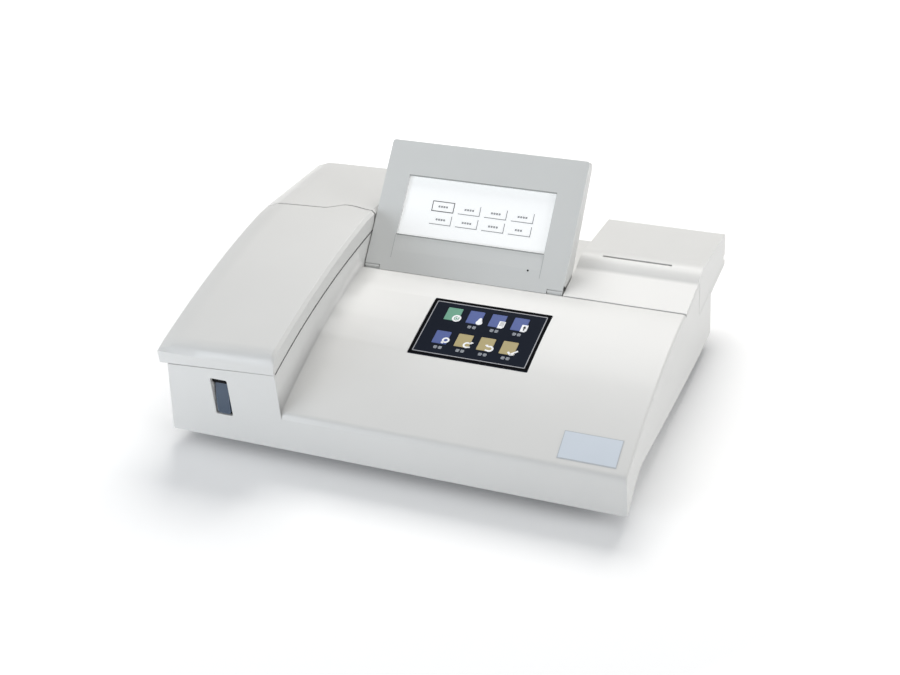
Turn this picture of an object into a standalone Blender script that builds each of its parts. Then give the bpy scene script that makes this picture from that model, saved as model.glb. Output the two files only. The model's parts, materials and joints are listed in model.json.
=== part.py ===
"""Benchtop chemistry analyzer: sculpted case, hinged lid, folding screen, printer and optical bench.

Metres, +Z up. +X is the operator's right, -Y the front, z = 0 the table.
The origin is the middle of the footprint, on the table.
"""
import bpy
import bmesh
import math
from mathutils import Matrix, Vector

# Case
CASE_WIDTH = 0.420
HOUSING_WIDTH = 0.113
PRINTER_WIDTH = 0.112
HOUSING_RIGHT = -CASE_WIDTH / 2 + HOUSING_WIDTH
PRINTER_LEFT = CASE_WIDTH / 2 - PRINTER_WIDTH
DECK_DEPTH = 0.1818
BAY_DEPTH = 0.0897
REAR_OVERHANG = 0.0530
BASE_DEPTH = DECK_DEPTH + BAY_DEPTH
CASE_DEPTH = BASE_DEPTH + REAR_OVERHANG
FOOT_HEIGHT = 0.012
WALL = 0.0028
SEAM_GAP = 0.0004
REST_GAP = 0.0003
OVERRUN = 0.004
EDGE_RADIUS = 0.005
EDGE_STEPS = 4

# Deck that carries the keypad
DECK_FRONT_HEIGHT = 0.050
DECK_REAR_HEIGHT = 0.090
DECK_CROWN_SHARE = 1.8
DECK_STATIONS = 14

# Undercut along the foot of both side walls
SCOOP_HEIGHT = 0.021
SCOOP_START = 0.003
SCOOP_PEAK = 0.045
SCOOP_REAR_MARGIN = 0.0095
SCOOP_END = BASE_DEPTH - SCOOP_REAR_MARGIN
SCOOP_FALL_SHARE = 1.3
SCOOP_LEAST = 0.0010

# Left housing with the lid; its places behind the deck are measured from the deck's rear edge
HOUSING_TOP_LEAN = 0.0085
SEAM_FRONT_HEIGHT = 0.091
SEAM_REAR_HEIGHT = 0.114
SEAM_CROWN_SHARE = 2.2
SEAM_LEVEL_BACK = 0.0082
SEAM_RUN = DECK_DEPTH + SEAM_LEVEL_BACK
SKIRT_DROP = 0.013
LID_LEFT_FRONT_RISE = 0.006
LID_LEFT_CREST_RISE = 0.007
LID_RIGHT_RISE = 0.017
LID_LEFT_FRONT = SEAM_FRONT_HEIGHT + LID_LEFT_FRONT_RISE
LID_LEFT_CREST = SEAM_REAR_HEIGHT + LID_LEFT_CREST_RISE
LID_RIGHT_FRONT = SEAM_FRONT_HEIGHT + LID_RIGHT_RISE
LID_RIGHT_CREST = SEAM_REAR_HEIGHT + LID_RIGHT_RISE
LID_CROWN_SHARE = 1.9
LID_CREST_BACK = 0.0252
LID_CREST_RUN = DECK_DEPTH + LID_CREST_BACK
LID_LEFT_REAR_DROP = 0.007
LID_LEFT_REAR = SEAM_REAR_HEIGHT - LID_LEFT_REAR_DROP
LID_RIGHT_REAR = SEAM_REAR_HEIGHT
LID_SHOULDER_WIDTH = 0.020
LID_SHOULDER_DROP = 0.005
LID_RIDGE_RADIUS = 0.003
LID_NOSE_RUN = 0.014
LID_NOSE_RISE = 0.005
LID_NOSE_HEIGHT = SEAM_FRONT_HEIGHT + LID_NOSE_RISE
LID_STATIONS = 16
LID_ACROSS = 9
LID_REAR_GAP = 0.0015
LID_LEFT_BACK = 0.0327
LID_RIGHT_BACK = 0.0357
LID_JOG_BACK = 0.0432
LID_AXIS_BACK = 0.0802
LID_SEAM_LEFT = DECK_DEPTH + LID_LEFT_BACK
LID_SEAM_RIGHT = DECK_DEPTH + LID_RIGHT_BACK
LID_SEAM_JOG = DECK_DEPTH + LID_JOG_BACK
LID_JOG_LEFT_SHARE = 0.54
LID_JOG_RIGHT_SHARE = 0.72
LID_JOG_STEPS = 6
LID_AXIS_Y = DECK_DEPTH + LID_AXIS_BACK
LID_AXIS_DROP = 0.004
LID_AXIS_Z = LID_RIGHT_REAR - LID_AXIS_DROP
LID_ARM_WIDTH = 0.006
LID_ARM_DEPTH = 0.006
LID_ARM_RADIUS = 0.0505
LID_ARM_HIGH_ANGLE = 24
LID_ARM_LOW_ANGLE = -50
LID_ARM_STEPS = 10
LID_ARM_SHARES = (0.13, 0.86)
LID_KNUCKLE_RADIUS = 0.0038
LID_PIN_RADIUS = 0.0020
LID_EAR = 0.0030

# Rear bay behind the screen
BAY_FLOOR = 0.061
SHELF_UNDERSIDE = 0.056

# Folding screen
SCREEN_SIDE_GAP = 0.001
SCREEN_WIDTH = PRINTER_LEFT - HOUSING_RIGHT - SCREEN_SIDE_GAP * 2
SCREEN_X = (PRINTER_LEFT + HOUSING_RIGHT) / 2
SCREEN_HEIGHT = 0.1257
SCREEN_TILT = math.radians(43.9)
SCREEN_AXIS_INSET = 0.0030
SCREEN_AXIS_UP = 0.0030
SCREEN_DECK_GAP = 0.0006
SCREEN_TOP_THICK = 0.0110
SCREEN_FOOT_THICK = 0.0200
BEZEL_THICK = 0.0042
BEZEL_CORNER = 0.0025
WINDOW_SIDE = 0.0245
WINDOW_WIDTH = SCREEN_WIDTH - WINDOW_SIDE * 2
WINDOW_HEIGHT = 0.0567
WINDOW_FOOT = 0.0357
WINDOW_OFFSET = -0.0001
WINDOW_STEP = 0.0008
WINDOW_STEP_RUN = 0.022
LCD_MARGIN = 0.004
LCD_THICK = 0.0032
SCREEN_NOTCH_WIDTH = 0.0150
SCREEN_NOTCH_DEPTH = 0.0095
SCREEN_BACK_WALL = 0.0022
SCREEN_PIN_RADIUS = 0.0013
SCREEN_EYE_RADIUS = 0.0026
SCREEN_PIN_REACH = 0.010
HINGE_LEAF = 0.0015
HINGE_LEAF_HEIGHT = 0.0080

# Printer corner
COVER_TOP_GAP = 0.0008
COVER_PANEL_RUN = 0.0382
COVER_CREASE_Y = DECK_DEPTH + COVER_PANEL_RUN
COVER_CREASE_Z = 0.0955
COVER_SIDE_BACK = 0.0467
COVER_SIDE_Y = DECK_DEPTH + COVER_SIDE_BACK
NOSE_TOP_Z = 0.1015
NOSE_RUN = 0.0360
NOSE_LEDGE_Y = COVER_CREASE_Y + NOSE_RUN
COVER_REAR_HEIGHT = 0.0905
SLOT_BACK = 0.0185
SLOT_Y = COVER_CREASE_Y + SLOT_BACK
SLOT_WIDTH = 0.064
SLOT_GAP = 0.0022
ROLL_INSET = 0.0600
ROLL_X = CASE_WIDTH / 2 - ROLL_INSET
SLOT_LEFT = ROLL_X - SLOT_WIDTH / 2
COVER_AXIS_INSET = 0.0045
COVER_AXIS_Y = CASE_DEPTH - COVER_AXIS_INSET
COVER_AXIS_Z = 0.0652
COVER_LIP = 0.0020
COVER_KNUCKLE_RADIUS = 0.0035
COVER_PIN_RADIUS = 0.0016
COVER_SKIN = 0.0026
COVER_PANEL_FRONT_Z = 0.0906
COVER_HUMP = 0.0042
COVER_HUMP_STEPS = 10
COVER_EAR = 0.0035
COVER_EAR_INSET = 0.0140
COVER_EAR_LEFT = PRINTER_LEFT + COVER_EAR_INSET
COVER_EAR_RIGHT = CASE_WIDTH / 2 - COVER_EAR_INSET
COVER_REAR_ROUND = 0.0045

# Keypad on the deck
KEYPAD_WIDTH = 0.110
KEYPAD_LENGTH = 0.071
KEYPAD_THICK = 0.0020
KEYPAD_OVERHANG = 0.0008
KEYPAD_REAR_MARGIN = 0.0291
KEYPAD_X = PRINTER_LEFT + KEYPAD_OVERHANG - KEYPAD_WIDTH / 2
KEYPAD_Y = DECK_DEPTH - KEYPAD_REAR_MARGIN - KEYPAD_LENGTH / 2
KEYPAD_CORNER = 0.0012
KEYPAD_LIFT = 0.0005
KEYPAD_PAD = 0.0040
KEY_COLUMN_PITCH = 0.0208
KEY_ROW_PITCH = 0.0300
KEY_ROW_OFFSET = 0.0035
KEY_COLUMN_OFFSET = -0.0007
KEY_WIDTH = 0.0136
KEY_LENGTH = 0.0156
KEY_GAP = 0.0003
KEY_TRAVEL = 0.0005
KEY_NAMES = (("key_lamp", "blue film"), ("key_left", "tan film"), ("key_right", "tan film"),
             ("key_confirm", "tan film"), ("key_power", "green film"), ("key_wash", "blue film"),
             ("key_print", "blue film"), ("key_exit", "blue film"))
KEYS_PER_ROW = 4

# Aspirate trigger in the front wall
TRIGGER_INSET = 0.0565
TRIGGER_X = HOUSING_RIGHT - TRIGGER_INSET
TRIGGER_SLOT_WIDTH = 0.0165
TRIGGER_SLOT_FOOT = 0.0385
TRIGGER_SLOT_TOP = 0.0765
TRIGGER_CORNER = 0.0015
TRIGGER_WIDTH = 0.0125
TRIGGER_THICK = 0.0024
TRIGGER_TOP_DEPTH = 0.0040
TRIGGER_BULGE = 0.0035
TRIGGER_PIN_RADIUS = 0.0012
TRIGGER_PIN_DROP = 0.0030
TRIGGER_GUIDE_WALL = 0.0012
TRIGGER_GUIDE_DEPTH = 0.0200
SWITCH_BODY = (0.0060, 0.0100, 0.0120)
SWITCH_PLUNGER = 0.0012
SWITCH_REACH = 0.0094

# Rear panel and what it carries
PANEL_SIDE = 0.040
PANEL_WIDTH = CASE_WIDTH - PANEL_SIDE * 2
PANEL_FOOT = 0.0160
PANEL_TOP = 0.0570
PANEL_THICK = 0.0012
PANEL_LAP = 0.0040
INLET_INSET = 0.040
INLET_X = PANEL_WIDTH / 2 - INLET_INSET
INLET_WIDTH = 0.0275
INLET_HEIGHT = 0.0200
INLET_FLANGE = 0.0030
INLET_FLANGE_THICK = 0.0020
INLET_DEPTH = 0.0220
INLET_SOCKET_DEPTH = 0.0160
INLET_WALL = 0.0018
INLET_BLADE = (0.0020, 0.0040)
INLET_BLADE_PITCH = 0.0070
INLET_BLADE_SINK = 0.0060
ROCKER_PITCH = 0.038
ROCKER_X = INLET_X - ROCKER_PITCH
ROCKER_WIDTH = 0.0120
ROCKER_HEIGHT = 0.0190
ROCKER_FRAME_WALL = 0.0018
ROCKER_DEPTH = 0.0120
ROCKER_PROUD = 0.0016
ROCKER_TILT = math.radians(9)
ROCKER_PIN_RADIUS = 0.0012
SERIAL_X = 0.020
SERIAL_WIDTH = 0.0310
SERIAL_HEIGHT = 0.0125
SERIAL_SHELL_WIDTH = 0.0165
SERIAL_SHELL_HEIGHT = 0.0080
SERIAL_SHELL_DEPTH = 0.0055
SERIAL_SLANT = 0.0012
WASTE_X = -0.045
WASTE_RADIUS = 0.0035
WASTE_BORE = 0.0018
WASTE_REACH = 0.0120
FAN_INSET = 0.050
FAN_X = -PANEL_WIDTH / 2 + FAN_INSET
FAN_SIZE = 0.0350
FAN_DEPTH = 0.0100
FAN_CORNER = 0.0030
FAN_BORE_RADIUS = 0.0162
FAN_HUB_RADIUS = 0.0070
FAN_BLADES = 7
FAN_BLADE_THICK = 0.0010
FAN_BLADE_TIP_GAP = 0.0008
FAN_BLADE_PITCH = math.radians(38)
FAN_STRUTS = 4
FAN_STRUT = 0.0022
FAN_STRUT_DEPTH = 0.0018
FAN_SHAFT_RADIUS = 0.0015
RIGHT_ANGLE = 90
GRILLE_STEPS = 6
VENT_COUNT = 8
VENT_INSET = 0.020
VENT_FIRST_X = -CASE_WIDTH / 2 + VENT_INSET
VENT_PITCH = 0.010
VENT_WIDTH = 0.0050
VENT_FOOT = 0.0700
VENT_TOP = 0.0940

# Bottom tray and feet
TRAY_THICK = 0.0022
TRAY_GAP = 0.0006
TRAY_BOSS_RADIUS = 0.0050
TRAY_BOSS_HEIGHT = 0.0080
FOOT_RADIUS = 0.0110
FOOT_TAPER = 0.0015
FOOT_INSET = 0.045
FOOT_X = CASE_WIDTH / 2 - FOOT_INSET
FOOT_FRONT_Y = 0.030
FOOT_REAR_INSET = 0.0315
FOOT_REAR_Y = BASE_DEPTH - FOOT_REAR_INSET
FOOT_RIM = 0.0015
BOARD_THICK = 0.0016
BOARD_X = 0.010
BOARD_LENGTH = 0.150
BOARD_FRONT_Y = 0.040
BOARD_SUPPLY_GAP = 0.020
CHIP_HEIGHT = 0.0030
BOARD_CHIP_SHARES = ((-0.25, 0.4, 0.14), (0.1, 0.55, 0.2), (0.32, 0.3, 0.1))
SUPPLY_GAP = 0.010
SUPPLY_WIDTH = 0.068
SUPPLY_HIGH_X = PRINTER_LEFT - SUPPLY_GAP
SUPPLY_LOW_X = SUPPLY_HIGH_X - SUPPLY_WIDTH
SUPPLY_LENGTH = 0.070
SUPPLY_REAR_Y = FOOT_REAR_Y
SUPPLY_FRONT_Y = SUPPLY_REAR_Y - SUPPLY_LENGTH
BOARD_DEPTH = SUPPLY_FRONT_Y - BOARD_SUPPLY_GAP - BOARD_FRONT_Y
SUPPLY_HEIGHT = 0.0320
SUPPLY_FIN = 0.0020

# Optical bench and pump under the lid
BENCH_INSET = 0.020
BENCH_GAP = 0.013
BENCH_LEFT = -CASE_WIDTH / 2 + BENCH_INSET
BENCH_RIGHT = HOUSING_RIGHT - BENCH_GAP
BENCH_FRONT_Y = 0.078
BENCH_REAR_Y = 0.198
BENCH_HEIGHT = 0.0460
BENCH_THICK = 0.0030
BENCH_LEG = 0.0080
LAMP_SIZE = 0.0300
LAMP_INSET = 0.0240
LAMP_X = BENCH_LEFT + LAMP_INSET
LAMP_Y = 0.1780
LAMP_FINS = 5
LAMP_HEIGHT = 0.0340
LAMP_FIN_SHARE = 0.7
BEAM_HEIGHT = 0.0180
TUBE_RADIUS = 0.0075
TUBE_FLANGE_RADIUS = 0.0100
TUBE_LENGTH = 0.0180
TUBE_BORE = 0.0045
TUBE_FLANGE = 0.0030
WHEEL_RADIUS = 0.0165
WHEEL_THICK = 0.0040
WHEEL_FILTERS = 8
WHEEL_FILTER_RADIUS = 0.0032
WHEEL_FILTER_RING = 0.0115
WHEEL_SHAFT_RADIUS = 0.0020
WHEEL_CLEARANCE = 0.0012
WHEEL_GLASS = 0.0010
WHEEL_GRIP = 0.0060
CELL_SIZE = 0.0220
CELL_HEIGHT = 0.0300
CELL_Y = 0.1090
CELL_BORE = 0.0025
NIPPLE_RADIUS = 0.0015
NIPPLE_HEIGHT = 0.0040
DETECTOR_SIZE = 0.0200
DETECTOR_DEPTH = 0.0120
DETECTOR_Y = 0.0900
STEPPER_RADIUS = 0.0085
STEPPER_LENGTH = 0.0140
PUMP_INSET = 0.0250
PUMP_X = HOUSING_RIGHT - PUMP_INSET
PUMP_Y = 0.0420
PUMP_SIZE = 0.0360
PUMP_FOOT = 0.0600
PUMP_HEIGHT = 0.0140
PUMP_FLOOR = 0.0030
PUMP_TRACK_RADIUS = 0.0150
PUMP_HUB_RADIUS = 0.0130
PUMP_HUB_PLATE = 0.0015
PUMP_ROLLERS = 3
PUMP_ROLLER_RADIUS = 0.0036
PUMP_ROLLER_RING = 0.0090
PUMP_AXLE_RADIUS = 0.0012
PUMP_SHAFT_RADIUS = 0.0020
PUMP_MOTOR_RADIUS = 0.0130
PUMP_MOTOR_LENGTH = 0.0300
PUMP_LEG_RADIUS = 0.0030
PUMP_BOSS_RADIUS = 0.0045
PUMP_SHAFT_GRIP = 0.0080
PUMP_TOP_GAP = 0.0010

# Printer works
TRAY_WALL = 0.0018
PAPER_TRAY_FLOOR = 0.0300
PAPER_TRAY_TOP = 0.0580
PAPER_TRAY_LEG = 0.0080
ROLL_BAY_BACK = 0.0462
ROLL_BAY_REAR = DECK_DEPTH + ROLL_BAY_BACK
ROLL_SIDE_GAP = 0.0015
PRINTER_SHELF = 0.0540
ROLL_RADIUS = 0.0190
ROLL_CORE = 0.0060
ROLL_WIDTH = 0.0570
ROLL_BACK = 0.0267
ROLL_Y = DECK_DEPTH + ROLL_BACK
ROLL_Z = 0.0560
SPINDLE_PIN = 0.0025
PRINTER_SIDE = 0.0020
PRINTER_FRAME_WIDTH = 0.0670
PRINTER_SIDE_LEFT = ROLL_X - PRINTER_FRAME_WIDTH / 2
PRINTER_SIDE_RIGHT = ROLL_X + PRINTER_FRAME_WIDTH / 2
PLATEN_BACK = 0.0582
PRINTER_Y = DECK_DEPTH + PLATEN_BACK
PLATEN_Z = 0.0840
PLATEN_RADIUS = 0.0052
PLATEN_SHAFT = 0.0020
HEAD_THICK = 0.0030
HEAD_TOP = 0.0060
HEAD_SIDE_GAP = 0.0015
FRAME_FRONT = 0.0100
FRAME_REAR = 0.0140
FRAME_TOP = 0.0070
FRAME_BASE = 0.0030
GEAR_MODULE = 0.0008
PLATEN_TEETH = 18
IDLER_TEETH = 20
PINION_TEETH = 12
GEAR_THICK = 0.0040
GEAR_BACKLASH = 0.00012
GEAR_GAP = 0.0008
GEAR_ADDENDUM_SHARE = 0.75
GEAR_DEDENDUM_SHARE = 1.0
IDLER_AXLE = 0.0015
PINION_SHAFT = 0.0012
PINION_ANGLE = math.radians(-10)
MOTOR_GAP = 0.0012
PRESSURE_ANGLE = math.radians(20)
FLANK_STEPS = 2
PRINT_MOTOR_RADIUS = 0.0090
PRINT_MOTOR_LENGTH = 0.0150

SMOOTH_ANGLE = math.radians(32)
FLAT_ANGLE = math.radians(0.01)


def smooth_rise(low, high, share, power):
    """Height that climbs from low to high and levels out at share 1."""
    return low + (high - low) * (1 - (1 - min(share, 1)) ** power)


def front(y):
    """World Y of a place measured back from the front face."""
    return y - CASE_DEPTH / 2


def deck_height(y):
    return smooth_rise(DECK_FRONT_HEIGHT, DECK_REAR_HEIGHT, y / DECK_DEPTH, DECK_CROWN_SHARE)


def seam_height(y):
    return smooth_rise(SEAM_FRONT_HEIGHT, SEAM_REAR_HEIGHT, y / SEAM_RUN, SEAM_CROWN_SHARE)


def crest(low, high, rear, y):
    """Lid edge line: rises to the crest, then falls evenly to the back edge."""
    if y <= LID_CREST_RUN:
        return smooth_rise(low, high, y / LID_CREST_RUN, LID_CROWN_SHARE)
    fall = (y - LID_CREST_RUN) / (CASE_DEPTH - LID_CREST_RUN)
    return high + (rear - high) * fall


def lid_left_height(y):
    return crest(LID_LEFT_FRONT, LID_LEFT_CREST, LID_LEFT_REAR, y)


def lid_right_height(y):
    return crest(LID_RIGHT_FRONT, LID_RIGHT_CREST, LID_RIGHT_REAR, y)


def skirt_height(y):
    return lid_left_height(y) - SKIRT_DROP


def scoop(y):
    """Height of the undercut at the foot of the side walls."""
    if y <= SCOOP_START or y >= SCOOP_END:
        return SCOOP_LEAST
    if y <= SCOOP_PEAK:
        rise = SCOOP_HEIGHT * math.sin(math.pi / 2 * (y - SCOOP_START) / (SCOOP_PEAK - SCOOP_START))
        return max(rise, SCOOP_LEAST)
    fall = SCOOP_HEIGHT * (1 - (y - SCOOP_PEAK) / (SCOOP_END - SCOOP_PEAK)) ** SCOOP_FALL_SHARE
    return max(fall, SCOOP_LEAST)


def spread(low, high, steps):
    return [low + (high - low) * i / steps for i in range(steps + 1)]


def arc(centre, radius, start, end, steps):
    """Points of an arc in a plane, from one angle in degrees to another."""
    angles = spread(math.radians(start), math.radians(end), steps)
    return [(centre[0] + radius * math.cos(a), centre[1] + radius * math.sin(a)) for a in angles]


def finish_mesh(name, bm):
    bmesh.ops.recalc_face_normals(bm, faces=bm.faces)
    mesh = bpy.data.meshes.new(name)
    bm.to_mesh(mesh)
    bm.free()
    piece = bpy.data.objects.new(name, mesh)
    bpy.context.scene.collection.objects.link(piece)
    return piece


def loft(name, rings):
    """Closed body through rings of equal point count: twisted sides split flat, a flat cap at each end."""
    bm = bmesh.new()
    loops = [[bm.verts.new(point) for point in ring] for ring in rings]
    for one, two in zip(loops, loops[1:]):
        for i in range(len(one)):
            j = (i + 1) % len(one)
            bm.faces.new((one[i], one[j], two[j], two[i]))
    bmesh.ops.connect_verts_nonplanar(bm, faces=bm.faces, angle_limit=FLAT_ANGLE)
    bm.faces.new(loops[0])
    bm.faces.new(loops[-1])
    return finish_mesh(name, bm)


def prism(name, outline, low, high, axis):
    """Outline of two coordinates pushed along the third axis."""
    order = {"x": lambda p, w: (w, p[0], p[1]), "y": lambda p, w: (p[0], w, p[1]),
             "z": lambda p, w: (p[0], p[1], w)}[axis]
    return loft(name, [[order(p, low) for p in outline], [order(p, high) for p in outline]])


def box(name, low, high):
    outline = [(low[0], low[1]), (high[0], low[1]), (high[0], high[1]), (low[0], high[1])]
    return prism(name, outline, low[2], high[2], "z")


def round_box(name, low, high, radius, steps=EDGE_STEPS, axis="z"):
    """Box whose four edges along one axis are rounded."""
    keep = {"x": (1, 2, 0), "y": (0, 2, 1), "z": (0, 1, 2)}[axis]
    a0, a1 = low[keep[0]], high[keep[0]]
    b0, b1 = low[keep[1]], high[keep[1]]
    outline = arc((a1 - radius, b1 - radius), radius, 0, 90, steps)
    outline += arc((a0 + radius, b1 - radius), radius, 90, 180, steps)
    outline += arc((a0 + radius, b0 + radius), radius, 180, 270, steps)
    outline += arc((a1 - radius, b0 + radius), radius, 270, 360, steps)
    return prism(name, outline, low[keep[2]], high[keep[2]], axis)


def rod(name, centre, radius, low, high, axis, sides=24):
    """Round bar along an axis; centre holds the two other coordinates."""
    outline = [(centre[0] + radius * math.cos(math.tau * i / sides),
                centre[1] + radius * math.sin(math.tau * i / sides)) for i in range(sides)]
    return prism(name, outline, low, high, axis)


def turned(name, centre, profile, axis, sides=24):
    """Solid of revolution: profile lists (radius, place along the axis) from end to end."""
    order = {"x": lambda a, b, w: (w, a, b), "y": lambda a, b, w: (a, w, b),
             "z": lambda a, b, w: (a, b, w)}[axis]
    rings = []
    for radius, place in profile:
        rings.append([order(centre[0] + radius * math.cos(math.tau * i / sides),
                            centre[1] + radius * math.sin(math.tau * i / sides), place)
                      for i in range(sides)])
    return loft(name, rings)


def merge(target, tools, operation):
    """Applies one Boolean after another and removes the tools."""
    for tool in tools:
        step = target.modifiers.new("shape", "BOOLEAN")
        step.operation = operation
        step.solver = "EXACT"
        step.object = tool
        graph = bpy.context.evaluated_depsgraph_get()
        mesh = bpy.data.meshes.new_from_object(target.evaluated_get(graph))
        target.modifiers.clear()
        old = target.data
        target.data = mesh
        bpy.data.meshes.remove(old)
        bpy.data.objects.remove(tool)
    return target


def cut(target, *tools):
    return merge(target, tools, "DIFFERENCE")


def join(target, *tools):
    return merge(target, tools, "UNION")


def common(target, tool):
    return merge(target, [tool], "INTERSECT")


def turn(piece, angle, axis, pivot):
    """Turns a finished mesh about a world axis through a pivot."""
    move = Matrix.Translation(pivot) @ Matrix.Rotation(angle, 4, axis) @ Matrix.Translation(-Vector(pivot))
    piece.data.transform(move)
    return piece


MATERIALS = {
    "case white": ((0.80, 0.80, 0.78), 0.38, 0.0),
    "bezel grey": ((0.57, 0.59, 0.58), 0.42, 0.0),
    "black plastic": ((0.03, 0.03, 0.035), 0.5, 0.0),
    "navy film": ((0.014, 0.018, 0.03), 0.35, 0.0),
    "green film": ((0.14, 0.39, 0.26), 0.4, 0.0),
    "blue film": ((0.07, 0.11, 0.36), 0.4, 0.0),
    "tan film": ((0.45, 0.37, 0.17), 0.4, 0.0),
    "trigger blue": ((0.06, 0.10, 0.17), 0.4, 0.0),
    "glass": ((0.75, 0.78, 0.80), 0.1, 0.0),
    "rubber": ((0.03, 0.03, 0.03), 0.8, 0.0),
    "steel": ((0.55, 0.56, 0.58), 0.35, 1.0),
    "black metal": ((0.04, 0.04, 0.045), 0.45, 0.6),
    "aluminium": ((0.62, 0.63, 0.65), 0.4, 1.0),
    "circuit green": ((0.02, 0.14, 0.06), 0.5, 0.0),
    "paper": ((0.85, 0.85, 0.82), 0.8, 0.0),
    "gear white": ((0.75, 0.74, 0.68), 0.5, 0.0),
    "brass": ((0.65, 0.48, 0.2), 0.35, 1.0),
}


def material(name):
    """Principled material of the given finish, made once."""
    found = bpy.data.materials.get(name)
    if found:
        return found
    colour, roughness, metallic = MATERIALS[name]
    made = bpy.data.materials.new(name)
    made.use_nodes = True
    shader = made.node_tree.nodes["Principled BSDF"]
    shader.inputs["Base Color"].default_value = (*colour, 1)
    shader.inputs["Roughness"].default_value = roughness
    shader.inputs["Metallic"].default_value = metallic
    return made


def node(piece, name, finish, pivot=None):
    """Names a finished piece, gives it its finish and puts its origin on its joint axis."""
    piece.name = name
    piece.data.name = name
    piece.data.materials.clear()
    piece.data.materials.append(material(finish))
    piece.data.shade_smooth()
    piece.data.set_sharp_from_angle(angle=SMOOTH_ANGLE)
    if pivot is not None:
        piece.data.transform(Matrix.Translation(-Vector(pivot)))
        piece.location = pivot
    return piece


def lid_form_ring(y, inset, floor_left, floor_right):
    """Cross-section of the lid form at y: shoulder at the left, ridge at the right."""
    left = -CASE_WIDTH / 2 + inset
    right = HOUSING_RIGHT - inset
    low = lid_left_height(y) + LID_SHOULDER_DROP - inset
    high = lid_right_height(y) - inset
    nose = 0.0
    if y < LID_NOSE_RUN:
        nose = 1 - math.sqrt(max(0.0, 1 - (1 - y / LID_NOSE_RUN) ** 2))
    ring = [(left, floor_left), (right, floor_right)]
    across = spread(0.0, 1.0, LID_ACROSS)
    ring += [(right, high - LID_RIDGE_RADIUS), (right - LID_RIDGE_RADIUS, high)]
    for share in reversed(across[:-1]):
        x = left + (right - LID_RIDGE_RADIUS - left) * share
        z = low + (high - low) * share
        near = (x - left) / LID_SHOULDER_WIDTH
        if near < 1:
            z -= LID_SHOULDER_DROP * (1 - math.sqrt(1 - (1 - near) ** 2))
        ring.append((x, z))
    top = LID_NOSE_HEIGHT - inset
    return [(x, z - nose * max(0.0, z - top)) for x, z in ring]


def lid_form(name, start, end, inset, floor_left, floor_right):
    """Loft of the lid's domed top between two stations, measured back from the front."""
    stations = spread(start, end, LID_STATIONS)
    if start < LID_NOSE_RUN:
        nose = spread(start, LID_NOSE_RUN, EDGE_STEPS)
        stations = nose + [y for y in stations if y > LID_NOSE_RUN + OVERRUN]
    rings = []
    for y in stations:
        ring = lid_form_ring(y, inset, floor_left(y), floor_right(y))
        rings.append([(x, front(y), z) for x, z in ring])
    return loft(name, rings)


def seam_plan(offset):
    """Rear seam of the lid in plan, from left to right, with its soft S-shaped jog."""
    left = -CASE_WIDTH / 2
    points = [(left - OVERRUN, front(LID_SEAM_LEFT + offset))]
    jog = (LID_JOG_LEFT_SHARE, LID_JOG_RIGHT_SHARE, LID_SEAM_LEFT, LID_SEAM_JOG)
    back = (LID_JOG_RIGHT_SHARE, 1.0, LID_SEAM_JOG, LID_SEAM_RIGHT)
    for start, end, low, high in (jog, back):
        for step in spread(0.0, 1.0, LID_JOG_STEPS):
            x = left + HOUSING_WIDTH * (start + (end - start) * step)
            ease = (1 - math.cos(math.pi * step)) / 2
            points.append((x, front(low + (high - low) * ease + offset)))
        points.pop()
    return points + [(HOUSING_RIGHT + OVERRUN, front(LID_SEAM_RIGHT + offset))]


def wall_left(z, y):
    """X of the left wall, which leans in under the lid and stands upright behind it."""
    share = (z - FOOT_HEIGHT) / (SEAM_FRONT_HEIGHT - FOOT_HEIGHT)
    return -CASE_WIDTH / 2 + HOUSING_TOP_LEAN * share * max(0.0, 1 - y / LID_SEAM_LEFT)


def tub_ring(y, inset, left_top, right_top, floor):
    """Cross-section of the left housing below the lid, with its undercut foot."""
    low = scoop(y)
    return [(wall_left(floor, y) + low + inset, floor),
            (HOUSING_RIGHT - inset, floor),
            (HOUSING_RIGHT - inset, right_top),
            (wall_left(left_top, y) + inset, left_top),
            (wall_left(FOOT_HEIGHT + low, y) + inset, FOOT_HEIGHT + low + inset / 2)]


def deck_ring(y, inset, top, floor, left):
    """Cross-section of the case right of the housing, with its undercut foot."""
    low = scoop(y)
    right = CASE_WIDTH / 2 - inset
    radius = max(EDGE_RADIUS / 2 - inset / 2, EDGE_RADIUS / 4)
    ring = [(left, floor), (right - low, floor), (right, FOOT_HEIGHT + low + inset / 2)]
    ring += arc((right - radius, top - radius), radius, 0, 90, EDGE_STEPS)
    return ring + [(left, top)]


def body_stations(end):
    """Stations along the depth that follow the undercut and the deck's curve."""
    return [0.0] + spread(SCOOP_START, SCOOP_PEAK, EDGE_STEPS)[:-1] + spread(SCOOP_PEAK, end, DECK_STATIONS)


def deck_front(y):
    """Drop of the deck's rounded front edge."""
    if y >= EDGE_RADIUS:
        return 0.0
    return EDGE_RADIUS * (1 - math.sqrt(1 - (1 - y / EDGE_RADIUS) ** 2))


def place(rings):
    return [[(x, front(y), z) for x, z in ring] for y, ring in rings]


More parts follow.
